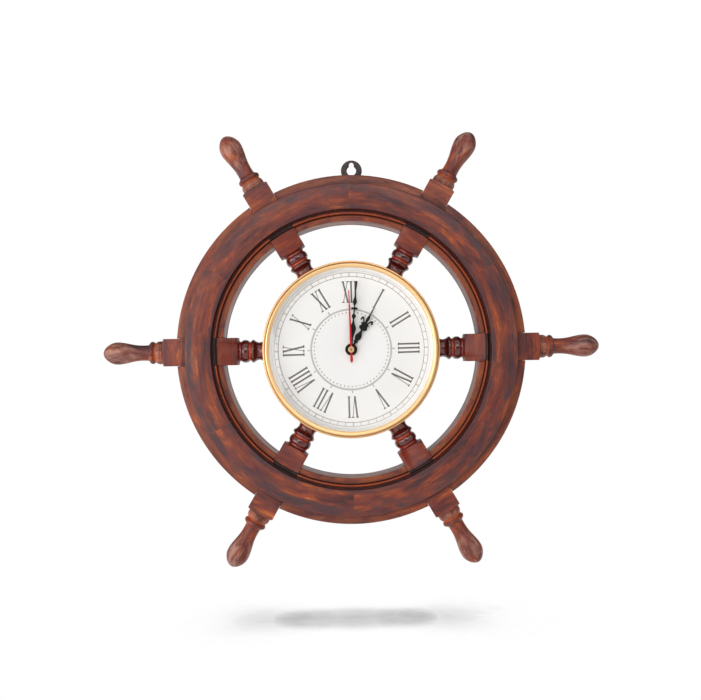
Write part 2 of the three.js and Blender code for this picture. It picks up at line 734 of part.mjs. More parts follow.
function addGoingTrain() {
  const secondPhase = directionOf(centre, fifthAt);
  const secondPinionPhase = directionOf(centre, thirdAt);
  const thirdPinionPhase = directionOf(thirdAt, centre);
  const fifthPhase = directionOf(fifthAt, rotorAt);
  const second = joined(
    toothed(secondTeeth, trainModule, secondPhase, secondLevel, wheelThickness),
    toothed(pinionTeeth, trainModule, secondPinionPhase, thirdLevel - pinionOverlap, pinionThickness),
    rod(arborRadius, pivotBack, capBack + capHeight, 8),
  );
  add("second_wheel", second, steel);
  const thirdPhase = meshed(secondPinionPhase, pinionTeeth, secondPinionPhase, thirdTeeth);
  const third = joined(
    toothed(thirdTeeth, trainModule, thirdPhase, thirdLevel, wheelThickness),
    toothed(pinionTeeth, centreModule, thirdPinionPhase, centreLevel - pinionOverlap, pinionThickness),
    rod(arborRadius, pivotBack, pivotFront, 8),
  ).translate(...thirdAt, 0);
  add("third_wheel", third, gearPlastic);
  const centrePhase = meshed(thirdPinionPhase, pinionTeeth, thirdPinionPhase, centreTeeth);
  const centreBore = minuteTubeRadius + runGap;
  const centreWheel = toothed(centreTeeth, centreModule, centrePhase, centreLevel, wheelThickness, centreBore);
  add("centre_wheel", centreWheel, brass);
  const fifthPinionPhase = meshed(secondPhase, secondTeeth, secondPhase, pinionTeeth);
  const fifth = joined(
    toothed(fifthTeeth, trainModule, fifthPhase, fifthLevel, wheelThickness),
    toothed(pinionTeeth, trainModule, fifthPinionPhase, secondLevel - pinionOverlap, pinionThickness),
    rod(arborRadius, pivotBack, bridgeBack + bridgeThickness / 2, 8),
  ).translate(...fifthAt, 0);
  add("fifth_wheel", fifth, gearPlastic);
  const rotorPhase = meshed(fifthPhase, fifthTeeth, fifthPhase, pinionTeeth);
  const rotor = joined(
    toothed(pinionTeeth, trainModule, rotorPhase, fifthLevel - pinionOverlap, pinionThickness),
    rod(magnetRadius, magnetBack, magnetBack + magnetHeight),
    rod(arborRadius, pivotBack, bridgeBack + bridgeThickness / 2, 8),
  ).translate(...rotorAt, 0);
  add("rotor", rotor, iron);
}

function addMotionWork() {
  const cannonPhase = reverserDirection;
  const reverserPhase = meshed(cannonPhase, cannonTeeth, reverserDirection, reverserTeeth);
  const reverserPinionPhase = reverserDirection + 180;
  const hourPhase = meshed(reverserPinionPhase, reverserPinionTeeth, reverserDirection + 180, hourTeeth);
  const knobPhase = meshed(reverserPhase, reverserTeeth, knobDirection, cannonTeeth);
  const cannonBack = reverserLevel - pinionOverlap;
  const cannon = joined(
    toothed(cannonTeeth, motionModule, cannonPhase, cannonBack, pinionThickness, minuteBore),
    tube(minuteBore, minuteTubeRadius, centreLevel - pinionOverlap, minuteHandBack + handThickness),
  );
  add("cannon_pinion", cannon, steel);
  const reverser = joined(
    toothed(reverserTeeth, motionModule, reverserPhase, reverserLevel, wheelThickness),
    toothed(reverserPinionTeeth, hourModule, reverserPinionPhase, hourLevel - pinionOverlap, pinionThickness),
    rod(arborRadius, reverserLevel, pivotFront, 8),
  ).translate(...reverserAt, 0);
  add("reverser_wheel", reverser, gearPlastic);
  const hourWheel = joined(
    toothed(hourTeeth, hourModule, hourPhase, hourLevel, wheelThickness, hourBore),
    tube(hourBore, hourTubeRadius, hourLevel, hourHandBack + handThickness),
  );
  add("hour_wheel", hourWheel, brass);
  const knobFront = shellBack - runGap;
  const knob = joined(
    toothed(cannonTeeth, motionModule, knobPhase, cannonBack, pinionThickness),
    rod(knobShaftRadius, knobFront - 1, cannonBack + pinionThickness),
    rod(knobRadius, knobFront - knobHeight, knobFront, 20),
  ).translate(...knobAt, 0);
  add("setting_knob", knob, blackPlastic);
}

const pivotHole = arborRadius + runGap;

function addMovementShell() {
  const front = shellOutline(shellWall);
  hole(front, ...centre, bushBore, smallFacets);
  hole(front, ...thirdAt, pivotHole);
  hole(front, ...reverserAt, pivotHole);
  const walls = shellOutline(shellWall);
  walls.holes.push(shellOutline(0));
  const shell = joined(
    plate(front, plateBack, shellFront),
    plate(walls, coverFront + glueGap, plateBack + 0.5),
    tube(bushBore, bushRadius, shellFront - 0.5, bushFront),
  );
  add("movement_shell", shell, blackPlastic);
  const cover = shellOutline(shellWall);
  const opening = rectangle(-shellSide + 0.4, shellBottom + 0.1, shellSide - 0.4, partitionBottom);
  cover.holes.push(opening);
  for (const place of [centre, thirdAt, fifthAt, rotorAt]) hole(cover, ...place, pivotHole);
  hole(cover, ...knobAt, knobShaftRadius + runGap, smallFacets);
  const partitionSide = shellSide - 4 * contactThickness;
  const partition = rectangle(-partitionSide, partitionBottom, partitionSide, partitionTop);
  const rearCover = joined(
    plate(cover, shellBack, coverFront),
    plate(partition, coverFront - 0.5, plateBack - glueGap),
  );
  add("rear_cover", rearCover, blackPlastic);
  const bridgeLeft = thirdAt[0] - 3;
  const bridgeRight = fifthAt[0] + 4;
  const bridge = rectangle(bridgeLeft, -4, bridgeRight, rotorAt[1] + 2);
  for (const place of [centre, thirdAt, fifthAt, rotorAt]) hole(bridge, ...place, pivotHole);
  add("train_bridge", plate(bridge, bridgeBack, bridgeBack + bridgeThickness), blackPlastic);
}

// The coil's soft-iron core rests on the two arms of the stator, whose eye surrounds the rotor
function addMotor() {
  const coreBack = statorBack + statorThickness + glueGap;
  const coreHalf = coreWidth / 2;
  const coreSide = coilLength / 2 + 4;
  const coreThickness = statorThickness;
  const core = rectangle(-coreSide, coilHeight - coreHalf, coreSide, coilHeight + coreHalf);
  add("coil_core", plate(core, coreBack, coreBack + coreThickness), iron);
  const eye = magnetRadius + runGap;
  const armInner = coilLength / 2 + 1;
  const waist = rotorAt[1] - eye - 2;
  const stator = polygon([
    [-coreSide, waist], [coreSide, waist], [coreSide, coilHeight + coreHalf],
    [armInner, coilHeight + coreHalf], [armInner, rotorAt[1] + eye / 2],
    [rotorAt[0] + eye, rotorAt[1] + eye / 2 + 1], [rotorAt[0], rotorAt[1] + eye + 0.35],
    [rotorAt[0] - eye, rotorAt[1] + eye / 2 + 1], [-armInner, rotorAt[1] + eye / 2],
    [-armInner, coilHeight + coreHalf], [-coreSide, coilHeight + coreHalf],
  ]);
  hole(stator, ...rotorAt, eye, smallFacets);
  add("stator", plate(stator, statorBack, statorBack + statorThickness), iron);
  const winding = rod(coilRadius, -coilLength / 2, coilLength / 2, 16).rotateY(Math.PI / 2);
  const room = new THREE.BoxGeometry(2 * coilLength, coreWidth + 2 * glueGap, coreThickness + 2 * glueGap);
  const coil = cut(winding, room).translate(0, coilHeight, coreBack + coreThickness / 2);
  add("coil", coil, copper);
}

function addElectrics() {
  const boardLeft = -shellSide + 0.6;
  const boardTop = coilHeight - coilRadius - 2;
  const boardBack = coverFront + glueGap;
  const board = rectangle(boardLeft, boardTop - boardHeight, boardLeft + boardWidth, boardTop);
  add("circuit_board", plate(board, boardBack, boardBack + boardThickness), boardGreen);
  const crystalDepth = boardBack + boardThickness + glueGap + crystalRadius;
  const crystal = rod(crystalRadius, -crystalLength / 2, crystalLength / 2, 8).rotateX(Math.PI / 2);
  const crystalAt = [boardLeft + boardWidth / 2, boardTop - boardHeight / 3, crystalDepth];
  add("quartz_crystal", crystal.translate(...crystalAt), steel);
  // The battery's button end faces right
  const half = batteryLength / 2;
  const shoulder = half - batteryNubLength;
  const battery = turned([
    [0, -half], [batteryRadius - 0.6, -half], [batteryRadius, -half + 0.6], [batteryRadius, shoulder - 0.6],
    [batteryRadius - 0.6, shoulder], [batteryNubRadius, shoulder], [batteryNubRadius, half], [0, half],
  ], 24).rotateY(Math.PI / 2);
  add("battery", battery.translate(0, batteryHeight, batteryDepth), batteryJacket);
  // Each contact is a blade at the battery's end with a tail that passes the partition
  const bladeHalf = 0.7 * batteryRadius;
  const tailTop = partitionTop + 3;
  const depth = batteryDepth;
  const contact = polygon([
    [batteryHeight - bladeHalf, depth - bladeHalf], [batteryHeight + bladeHalf, depth - bladeHalf],
    [batteryHeight + bladeHalf, depth + 1], [tailTop, depth + 1], [tailTop, depth + 4],
    [batteryHeight - bladeHalf, depth + 4],
  ]);
  const strip = plate(contact, 0, contactThickness).rotateX(Math.PI / 2).rotateZ(Math.PI / 2);
  const contactAt = shellSide - glueGap - contactThickness;
  add("contact_positive", strip.clone().translate(contactAt, 0, 0), steel);
  add("contact_negative", strip.clone().translate(-contactAt - contactThickness, 0, 0), steel);
}

addWheel();
addHanger();
addHub();
addCase();
addHands();
addGoingTrain();
addMotionWork();
addMovementShell();
addMotor();
addElectrics();

// The origin is the middle of the whole clock, half-way between the bezel's front and the hanger's back
clock.position.y = (bezelFront + hangerBack) / 2;
clock.rotation.x = Math.PI / 2;
const group = new THREE.Group();
group.add(clock);

export default group;
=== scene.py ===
import math
import random

import bmesh
import bpy
from mathutils import Matrix, Vector


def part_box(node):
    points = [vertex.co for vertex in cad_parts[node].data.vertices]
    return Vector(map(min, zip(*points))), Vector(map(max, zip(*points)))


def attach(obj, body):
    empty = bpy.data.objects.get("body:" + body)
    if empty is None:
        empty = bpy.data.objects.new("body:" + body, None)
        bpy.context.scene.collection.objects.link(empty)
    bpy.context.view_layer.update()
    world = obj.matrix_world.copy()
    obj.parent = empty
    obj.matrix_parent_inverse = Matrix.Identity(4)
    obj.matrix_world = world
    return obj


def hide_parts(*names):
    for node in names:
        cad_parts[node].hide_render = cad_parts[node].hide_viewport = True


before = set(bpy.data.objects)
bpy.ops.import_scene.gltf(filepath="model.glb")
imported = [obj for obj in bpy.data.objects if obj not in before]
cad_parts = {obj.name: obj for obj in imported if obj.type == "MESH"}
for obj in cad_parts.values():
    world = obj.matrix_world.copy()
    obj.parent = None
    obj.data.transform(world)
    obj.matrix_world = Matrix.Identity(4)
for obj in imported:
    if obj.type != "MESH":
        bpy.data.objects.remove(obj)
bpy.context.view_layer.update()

# Pieces are shaped as the clock is seen from the front, in millimetres: x right, y up and z towards
# the viewer, from the middle plane of the spokes. The hub's own middle is that plane.
hub_low, hub_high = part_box("hub")
MIDDLE = (hub_low.y + hub_high.y) / 2
TO_ROOM = (
    Matrix.Translation((0, MIDDLE, 0))
    @ Matrix.Rotation(math.pi / 2, 4, "X")
    @ Matrix.Scale(0.001, 4)
)


def depths(node):
    """How far back and how far forward a node of the frame reaches, in millimetres."""
    low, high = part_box(node)
    return (MIDDLE - high.y) * 1000, (MIDDLE - low.y) * 1000


def reach(node):
    """The largest radius of a round node, in millimetres."""
    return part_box(node)[1].x * 1000


# Sizes of the wheel
SPOKES = 6
STEP_ANGLE = 360 / SPOKES
WHEEL_RADIUS = reach("spoke_1")
BAR = 25.0
BLOCK_INNER = 103.58
BLOCK_OUTER = 172.42
HUB_RADIUS = reach("hub")
HUB_BACK, HUB_FRONT = depths("hub")
TENON_END = 58.0
TENON_RADIUS = 8.0
SHOULDER = 77.95
SOCKET_SEAT = 77.68
SOCKET_RADIUS = 11.7
RIM_RADIUS = reach("front_rim_1")
RIM_BACK, RIM_FRONT = depths("front_rim_1")
RIM_INSIDE = 127.2
RIM_BEAD = 123.1
BEAD_WIDTH = 1.9
BEAD_HEIGHT = 2.7
CHANNEL_DEPTH = 1.2
FELLOE_RADIUS = 159.5
FELLOE_INSIDE = 117.4
FELLOE_BACK, FELLOE_FRONT = depths("felloe_2")
REAR_BACK, REAR_FRONT = depths("rear_rim_2")
GLUE_GAP = 0.3
FINE_JOINT = 0.1
EASING = 0.5

# Sizes of the hanger
PLATE_BACK, PLATE_FRONT = depths("hanger_plate")
PLATE_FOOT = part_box("hanger_plate")[0].z * 1000
PLATE_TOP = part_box("hanger_plate")[1].z * 1000
PLATE_ASIDE = (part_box("hanger_plate")[0].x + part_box("hanger_plate")[1].x) * 500
PLATE_HEAD = 9.9
PLATE_TAB = 14.0
KEYHOLE = 4.4
KEY_SLOT = 4.5
KEY_RISE = 5.6
SINK_RADIUS = 3.7
SCREW_HOLE = 1.9
SCREW_HEAD = 3.38
SCREW_SHANK = 1.6
THREAD_CREST = 1.58
THREAD_ROOT = 1.15
THREAD_PITCH = 0.9
SCREW_SLOT = 0.8

# Sizes of the case and the movement
PAN_RADIUS = reach("case_pan")
PAN_BACK, PAN_FRONT = depths("case_pan")
PAN_WALL = 0.9
PAN_BASE = 1.0
DIAL_RADIUS = reach("dial")
DIAL_BACK, DIAL_FRONT = depths("dial")
DIAL_OPENING = 71.6
SPACER_BACK, SPACER_FRONT = depths("spacer_ring")
GLASS_RADIUS = reach("glass")
GLASS_BACK, GLASS_FRONT = depths("glass")
BEZEL_RADIUS = reach("bezel")
BEZEL_BACK, BEZEL_FRONT = depths("bezel")
BEZEL_OPENING = 73.3
BEZEL_BAND = 77.9
BEZEL_STEPS = 192
BORE = 4.0
KNOB_RIBS = 30
KNOB_RIB_DEPTH = 0.45
KNOB_THICKNESS = 4.48
KNOB_SHAFT_RADIUS = 1.2
KNOB_SHAFT_LENGTH = 17.0

# Turns in degrees: the wheel hangs a little out of true anticlockwise and the print stands a little
# further round, while the three hands are set clockwise of twelve
WHEEL_TURN = 1.0
DIAL_TURN = 0.7
HOUR_TURN = 29.8
MINUTE_TURN = 5.4
SECOND_TURN = -1.4

# Steps round a ring and round a spoke
RING_STEPS = 144
TURNED_STEPS = 56
random.seed(4)


def polar(angle, radius):
    """A point by its angle anticlockwise from the right, in degrees."""
    return radius * math.cos(math.radians(angle)), radius * math.sin(math.radians(angle))


def fillet(corners, steps=4):
    """Closed outline with a round of its own radius at each (x, y, radius) corner."""
    points = []
    for i, (x, y, radius) in enumerate(corners):
        corner = Vector((x, y))
        if radius == 0:
            points.append(corner)
            continue
        before = (Vector(corners[i - 1][:2]) - corner).normalized()
        after = (Vector(corners[(i + 1) % len(corners)][:2]) - corner).normalized()
        half = before.angle(after) / 2
        centre = corner + (before + after).normalized() * radius / math.sin(half)
        start = corner + before * radius / math.tan(half) - centre
        end = corner + after * radius / math.tan(half) - centre
        first = math.atan2(start.y, start.x)
        sweep = (math.atan2(end.y, end.x) - first + math.pi) % (2 * math.pi) - math.pi
        for step in range(steps + 1):
            turn = first + sweep * step / steps
            points.append(centre + radius * Vector((math.cos(turn), math.sin(turn))))
    return [tuple(point) for point in points]


def flowing(points, steps=4):
    """A smooth line through the points. A point written twice running is a sharp corner."""
    runs = [[points[0]]]
    for before, point in zip(points, points[1:]):
        if point == before:
            runs.append([point])
        else:
            runs[-1].append(point)
    line = []
    for run in runs:
        if len(run) == 1:
            line.append(run[0])
            continue
        knots = [Vector(p) for p in run]
        knots = [2 * knots[0] - knots[1], *knots, 2 * knots[-1] - knots[-2]]
        for a, b, c, d in zip(knots, knots[1:], knots[2:], knots[3:]):
            for step in range(steps):
                t = step / steps
                bend = (2 * a - 5 * b + 4 * c - d) * t + (3 * b - a - 3 * c + d) * t * t
                line.append(tuple(b + ((c - a) + bend) * t / 2))
        line.append(tuple(run[-1]))
    return [p for i, p in enumerate(line) if i == 0 or (Vector(p) - Vector(line[i - 1])).length > 1e-4]


def turned(section, steps=RING_STEPS, closed=True, angle=360.0):
    """Spins a section of (radius, z) points about the z axis."""
    bm = bmesh.new()
    verts = [bm.verts.new((radius, 0, z)) for radius, z in section]
    pairs = list(zip(verts, verts[1:]))
    if closed:
        pairs.append((verts[-1], verts[0]))
    edges = [bm.edges.new(pair) for pair in pairs]
    whole = angle == 360.0
    bmesh.ops.spin(
        bm, geom=verts + edges, cent=(0, 0, 0), axis=(0, 0, 1), dvec=(0, 0, 0),
        angle=math.radians(angle), steps=steps, use_merge=whole, use_duplicate=False,
    )
    bmesh.ops.remove_doubles(bm, verts=bm.verts, dist=1e-4)
    if not whole:
        close_holes(bm)
    return bm


def close_holes(bm):
    """Closes each open end with one face."""
    bmesh.ops.holes_fill(bm, edges=[edge for edge in bm.edges if edge.is_boundary], sides=0)


def cut_off(bm, point, normal):
    """Takes away what lies past a plane, on its normal's side, and closes the cut."""
    bmesh.ops.bisect_plane(
        bm, geom=bm.verts[:] + bm.edges[:] + bm.faces[:], dist=1e-5,
        plane_co=point, plane_no=normal, clear_outer=True,
    )
    close_holes(bm)


def ease(bm, width, segments=2, sharper=35.0):
    """Rounds every edge that is sharper than the angle."""
    bmesh.ops.recalc_face_normals(bm, faces=bm.faces)
    limit = math.radians(sharper)
    edges = [e for e in bm.edges if len(e.link_faces) == 2 and e.calc_face_angle() > limit]
    bmesh.ops.bevel(
        bm, geom=edges, offset=width, offset_type="OFFSET", segments=segments, profile=0.5,
        affect="EDGES", clamp_overlap=True, material=-1,
    )


def plate(outline, back, front):
    """A flat piece of that outline, from one depth to the other."""
    bm = bmesh.new()
    face = bm.faces.new([bm.verts.new((x, y, back)) for x, y in outline])
    raised = bmesh.ops.extrude_face_region(bm, geom=[face])["geom"]
    tops = [v for v in raised if isinstance(v, bmesh.types.BMVert)]
    bmesh.ops.translate(bm, verts=tops, vec=(0, 0, front - back))
    return bm


def turn(bm, angle, axis="Z"):
    """Turns the shape anticlockwise about an axis, in degrees."""
    matrix = Matrix.Rotation(math.radians(angle), 3, axis)
    bmesh.ops.rotate(bm, verts=bm.verts, cent=(0, 0, 0), matrix=matrix)
    return bm


def move(bm, x, y, z):
    """Moves the shape, in millimetres."""
    bmesh.ops.translate(bm, verts=bm.verts, vec=(x, y, z))
    return bm


def join(bm, other):
    """Adds another shape's faces to the first."""
    spare = bpy.data.meshes.new("spare")
    other.to_mesh(spare)
    other.free()
    bm.from_mesh(spare)
    bpy.data.meshes.remove(spare)
    return bm


def carve(bm, cutter):
    """Cuts one closed shape out of another."""
    objects = []
    for shape in (bm, cutter):
        bmesh.ops.recalc_face_normals(shape, faces=shape.faces)
        mesh = bpy.data.meshes.new("carving")
        shape.to_mesh(mesh)
        shape.free()
        objects.append(bpy.data.objects.new("carving", mesh))
        bpy.context.scene.collection.objects.link(objects[-1])
    modifier = objects[0].modifiers.new("carve", "BOOLEAN")
    modifier.operation = "DIFFERENCE"
    modifier.object = objects[1]
    modifier.solver = "EXACT"
    carved = bmesh.new()
    carved.from_object(objects[0], bpy.context.evaluated_depsgraph_get())
    for used in objects:
        bpy.data.objects.remove(used)
    bmesh.ops.remove_doubles(carved, verts=carved.verts, dist=1e-4)
    return carved


def set_grain(bm, along):
    """Stores where each point lies in its board: x with the fibres, y and z across them."""
    start = Vector((random.uniform(0, 900), random.uniform(0, 900), random.uniform(0, 900)))
    layer = bm.verts.layers.float_vector.new("grain")
    for vert in bm.verts:
        vert[layer] = along(vert.co) + start


def straight_grain(point):
    """Fibres from side to side, as in a board that a disc is cut from."""
    return Vector(point)


def brushed_grain(point):
    """Fibres along the spoke, but across it on the square block, where the stain was brushed on."""
    if BLOCK_INNER < point.x < BLOCK_OUTER:
        return Vector((point.y, point.x, point.z))
    return Vector(point)


def round_grain(point):
    """Fibres that follow the ring, with their length measured at the rim's middle."""
    middle = (RIM_RADIUS + FELLOE_INSIDE) / 2
    return Vector((math.atan2(point.y, point.x) * middle, math.hypot(point.x, point.y), point.z))


def piece(bm, name, body, material, slot, *nodes, crease=32.0):
    """Makes the shape an object in the room that rides on a body and stands for nodes of the frame."""
    bmesh.ops.recalc_face_normals(bm, faces=bm.faces)
    limit = math.radians(crease)
    for edge in bm.edges:
        edge.smooth = len(edge.link_faces) == 2 and edge.calc_face_angle() < limit
    for face in bm.faces:
        face.smooth = True
    mesh = bpy.data.meshes.new(name)
    bm.to_mesh(mesh)
    bm.free()
    mesh.transform(TO_ROOM)
    mesh.materials.append(material)
    made = bpy.data.objects.new(name, mesh)
    bpy.context.scene.collection.objects.link(made)
    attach(made, body)
    if nodes:
        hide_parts(*nodes)


def linear(code):
    """A colour as written, #rrggbb, as the shader's linear values."""
    values = [int(code[i:i + 2], 16) / 255 for i in (1, 3, 5)]
    return [v / 12.92 if v <= 0.04045 else ((v + 0.055) / 1.055) ** 2.4 for v in values] + [1.0]


def connect(tree, node, links):
    """Each socket gets a value, or a link from a node's first output in use, or from an output itself."""
    for socket, source in links.items():
        if isinstance(source, bpy.types.Node):
            source = next(out for out in source.outputs if out.enabled)
        if isinstance(source, bpy.types.NodeSocket):
            tree.links.new(source, node.inputs[socket])
        else:
            node.inputs[socket].default_value = source


def add(tree, kind, links=(), **settings):
    """Adds a node with its settings and links."""
    node = tree.nodes.new(kind)
    for name, value in settings.items():
        setattr(node, name, value)
    connect(tree, node, dict(links))
    return node


def set_stops(ramp, stops):
    """Gives a colour ramp its (place, colour, share) stops. The share, 1 if left out, is its alpha."""
    elements = ramp.color_ramp.elements
    while len(elements) < len(stops):
        elements.new(1.0)
    for element, (place, code, *share) in zip(elements, stops):
        element.position = place
        element.color = linear(code)[:3] + (share or [1.0])
    return ramp


def new_material(name):
    """An empty material with its shader, ready to be linked."""
    material = bpy.data.materials.new(name)
    material.use_nodes = True
    tree = material.node_tree
    tree.nodes.clear()
    shader = add(tree, "ShaderNodeBsdfPrincipled")
    add(tree, "ShaderNodeOutputMaterial", {"Surface": shader})
    return material, tree, shader


def ring_distance(tree):
    """How far a point is from the wheel's axis, in millimetres."""
    place = add(tree, "ShaderNodeTexCoord").outputs["Object"]
    flat = add(tree, "ShaderNodeVectorMath", {0: place, 1: (1000.0, 0.0, 1000.0)}, operation="MULTIPLY")
    return add(tree, "ShaderNodeVectorMath", {0: flat}, operation="LENGTH")


# Half the angle from spoke to spoke, and half that of a square block at the bead, in radians. The
# shadow painted on the bead over the blocks lies this far from the axis, and reaches this far to both
# sides, in millimetres.
HALF_SIXTH = math.pi / 6
BLOCK_ANGLE = 0.1
BEAD_MIDDLE = 124.7
BEAD_REACH = 2.3

# The stain's patterns, by their lengths along and across the fibres in millimetres, and their detail.
# Real pores are some 0.2 mm wide, too fine to show here, and are drawn twice as wide.
STAIN_PATTERNS = {
    "cloud": (40.0, 10.0, 5.0), "smoke": (38.0, 11.0, 4.0), "streak": (34.0, 1.5, 3.0),
    "fleck": (6.0, 2.0, 3.0), "wear": (20.0, 6.0, 4.0), "pore": (5.0, 0.45, 2.0)}


def stained_hardwood(name, zones, specular, glossy, gloss, coat):
    """Dyed and varnished hardwood, rubbed by hand. The stain is cloudy along the fibres, from grey-violet
    through red-brown to orange, and is rubbed through on the arrises. Corners and grooves get a deep red
    painted shade, which stands also for stain pooled there, and the ring's bead a painted shadow where it
    passes over the blocks. Zones colour it in patches by the distance from the wheel's axis, as
    (millimetres, colour, share). The varnish is satin, and lies glossy between the two distances."""
    material, tree, shader = new_material(name)
    grain = add(tree, "ShaderNodeAttribute", attribute_name="grain").outputs["Vector"]
    pattern = {}
    for kind, (length, width, detail) in STAIN_PATTERNS.items():
        apart = 17.3 * len(pattern)
        fitted = add(tree, "ShaderNodeMapping", {
            "Vector": grain, "Scale": (1 / length, 1 / width, 1 / width), "Location": (apart, apart, apart)})
        pattern[kind] = add(tree, "ShaderNodeTexNoise", {
            "Vector": fitted, "Scale": 1.0, "Detail": detail, "Roughness": 0.62, "Distortion": 0.4})
    distance = ring_distance(tree)

    fine = add(tree, "ShaderNodeMath", {0: pattern["fleck"], 1: 0.22, 2: -0.26}, operation="MULTIPLY_ADD")
    lean = add(tree, "ShaderNodeMath", {0: pattern["streak"], 1: 0.3, 2: fine}, operation="MULTIPLY_ADD")
    tone = add(tree, "ShaderNodeMath", {0: pattern["cloud"], 1: lean}, operation="ADD")
    stain = set_stops(add(tree, "ShaderNodeValToRGB", {"Fac": tone}), [
        (0.31, "#3b2321"), (0.42, "#642b26"), (0.52, "#7c3928"), (0.61, "#984626"), (0.72, "#c0672d")])
    smoky = add(tree, "ShaderNodeMapRange", {
        "Value": pattern["smoke"], "From Min": 0.49, "From Max": 0.66, "To Max": 0.6})
    stain = add(tree, "ShaderNodeMix", {0: smoky, 6: stain, 7: linear("#3b2831")}, data_type="RGBA")

    low, high = zones[0][0], zones[-1][0]
    along = add(tree, "ShaderNodeMapRange", {"Value": distance, "From Min": low, "From Max": high})
    zone = set_stops(add(tree, "ShaderNodeValToRGB", {"Fac": along}), [
        ((place - low) / (high - low), code, share) for place, code, share in zones])
    patchy = add(tree, "ShaderNodeMath", {0: pattern["wear"], 1: 3.2, 2: -1.9}, operation="MULTIPLY_ADD")
    share = add(
        tree, "ShaderNodeMath", {0: zone.outputs["Alpha"], 1: 1.6, 2: patchy},
        operation="MULTIPLY_ADD", use_clamp=True)
    stain = add(tree, "ShaderNodeMix", {0: share, 6: stain, 7: zone}, data_type="RGBA")

    round_edge = add(tree, "ShaderNodeBevel", {"Radius": 0.0009}, samples=4)
    surface = add(tree, "ShaderNodeNewGeometry").outputs["Normal"]
    likeness = add(tree, "ShaderNodeVectorMath", {0: round_edge, 1: surface}, operation="DOT_PRODUCT")
    arris = add(tree, "ShaderNodeMapRange", {
        "Value": likeness, "From Min": 0.985, "From Max": 0.88, "To Max": 0.5})
    rubbed = add(tree, "ShaderNodeMapRange", {"Value": pattern["wear"], "From Min": 0.46, "From Max": 0.58})
    edge_tone = add(
        tree, "ShaderNodeMix", {0: rubbed, 6: linear("#2a1714"), 7: linear("#be6d36")}, data_type="RGBA")
    stain = add(tree, "ShaderNodeMix", {0: arris, 6: stain, 7: edge_tone}, data_type="RGBA")

    # The ring's bead is bright between the square blocks, and is painted dark where it passes over them, as
    # the shadow that lies on it there. The painted shadow goes by the place on the wheel alone, so it marks
    # the boards behind too.
    place = add(tree, "ShaderNodeTexCoord").outputs["Object"]
    sides = add(tree, "ShaderNodeSeparateXYZ", {"Vector": place}).outputs
    heading = add(tree, "ShaderNodeMath", {0: sides["Z"], 1: sides["X"]}, operation="ARCTAN2")
    aside = add(tree, "ShaderNodeMath", {0: heading, 1: HALF_SIXTH}, operation="PINGPONG")
    over_block = add(tree, "ShaderNodeMath", {0: aside, 1: BLOCK_ANGLE}, operation="LESS_THAN")
    at_bead = add(tree, "ShaderNodeMath", {0: distance, 1: BEAD_MIDDLE, 2: BEAD_REACH}, operation="COMPARE")
    painted_bead_shadow = add(tree, "ShaderNodeMath", {0: over_block, 1: at_bead}, operation="MULTIPLY")
    stain = add(tree, "ShaderNodeMix", {0: painted_bead_shadow, 6: stain, 7: linear("#210806")}, data_type="RGBA")

    # Painted shade: where the wood nearly closes round a point, in corners and grooves, it is darkened to a
    # deep red, which stands also for stain pooled there.
    pocket = add(tree, "ShaderNodeAmbientOcclusion", {"Distance": 0.0034}, samples=8).outputs["AO"]
    pooled_stain_and_shade = add(tree, "ShaderNodeMapRange", {
        "Value": pocket, "From Min": 0.32, "From Max": 0.82, "To Min": 0.95, "To Max": 0.0})
    stain = add(tree, "ShaderNodeMix", {0: pooled_stain_and_shade, 6: stain, 7: linear("#230503")}, data_type="RGBA")

    inner, outer = glossy
    enter = add(tree, "ShaderNodeMapRange", {"Value": distance, "From Min": inner - 1, "From Max": inner})
    leave = add(tree, "ShaderNodeMapRange", {
        "Value": distance, "From Min": outer, "From Max": outer + 1.5, "To Min": 1.0, "To Max": 0.0})
    thick = add(tree, "ShaderNodeMath", {0: enter, 1: leave}, operation="MULTIPLY")
    level = add(tree, "ShaderNodeMix", {0: thick, 2: 0.42, 3: gloss}, data_type="FLOAT")
    uneven = add(tree, "ShaderNodeMapRange", {
        "Value": pattern["cloud"], "From Min": 0.3, "From Max": 0.7, "To Min": 1.15, "To Max": 0.85})
    rough = add(tree, "ShaderNodeMath", {0: level, 1: uneven}, operation="MULTIPLY")
    bump = add(tree, "ShaderNodeBump", {"Height": pattern["pore"], "Strength": 0.2, "Distance": 0.0002})
    connect(tree, shader, {
        "Base Color": stain, "Roughness": rough, "Normal": bump, "IOR": 1.5, "Specular IOR Level": specular})
    if coat > 1.0:
        connect(tree, shader, {"Coat Weight": thick, "Coat Roughness": 0.14, "Coat IOR": coat})
    return material


def plain_finish(name, code, metallic, roughness, speckle, bump_depth, grain_size, specular=0.5):
    """A one-colour finish whose tone, gloss and surface vary by a fine speckle. Its bumps and its grain,
    both in millimetres, are a little coarser than the real ones, which would be too fine to show."""
    material, tree, shader = new_material(name)
    place = add(tree, "ShaderNodeTexCoord").outputs["Object"]
    speck = add(tree, "ShaderNodeTexNoise", {"Vector": place, "Scale": 1000.0 / grain_size, "Detail": 3.0})
    low = [v * (1 - speckle) for v in linear(code)[:3]] + [1.0]
    high = [min(1.0, v * (1 + speckle)) for v in linear(code)[:3]] + [1.0]
    colour = add(tree, "ShaderNodeMix", {0: speck, 6: low, 7: high}, data_type="RGBA")
    rough = add(tree, "ShaderNodeMapRange", {
        "Value": speck, "To Min": roughness * 0.8, "To Max": roughness * 1.2})
    bump = add(tree, "ShaderNodeBump", {"Height": speck, "Strength": 0.3, "Distance": bump_depth / 1000})
    connect(tree, shader, {
        "Base Color": colour, "Metallic": metallic, "Roughness": rough, "Normal": bump,
        "Specular IOR Level": specular})
    return material


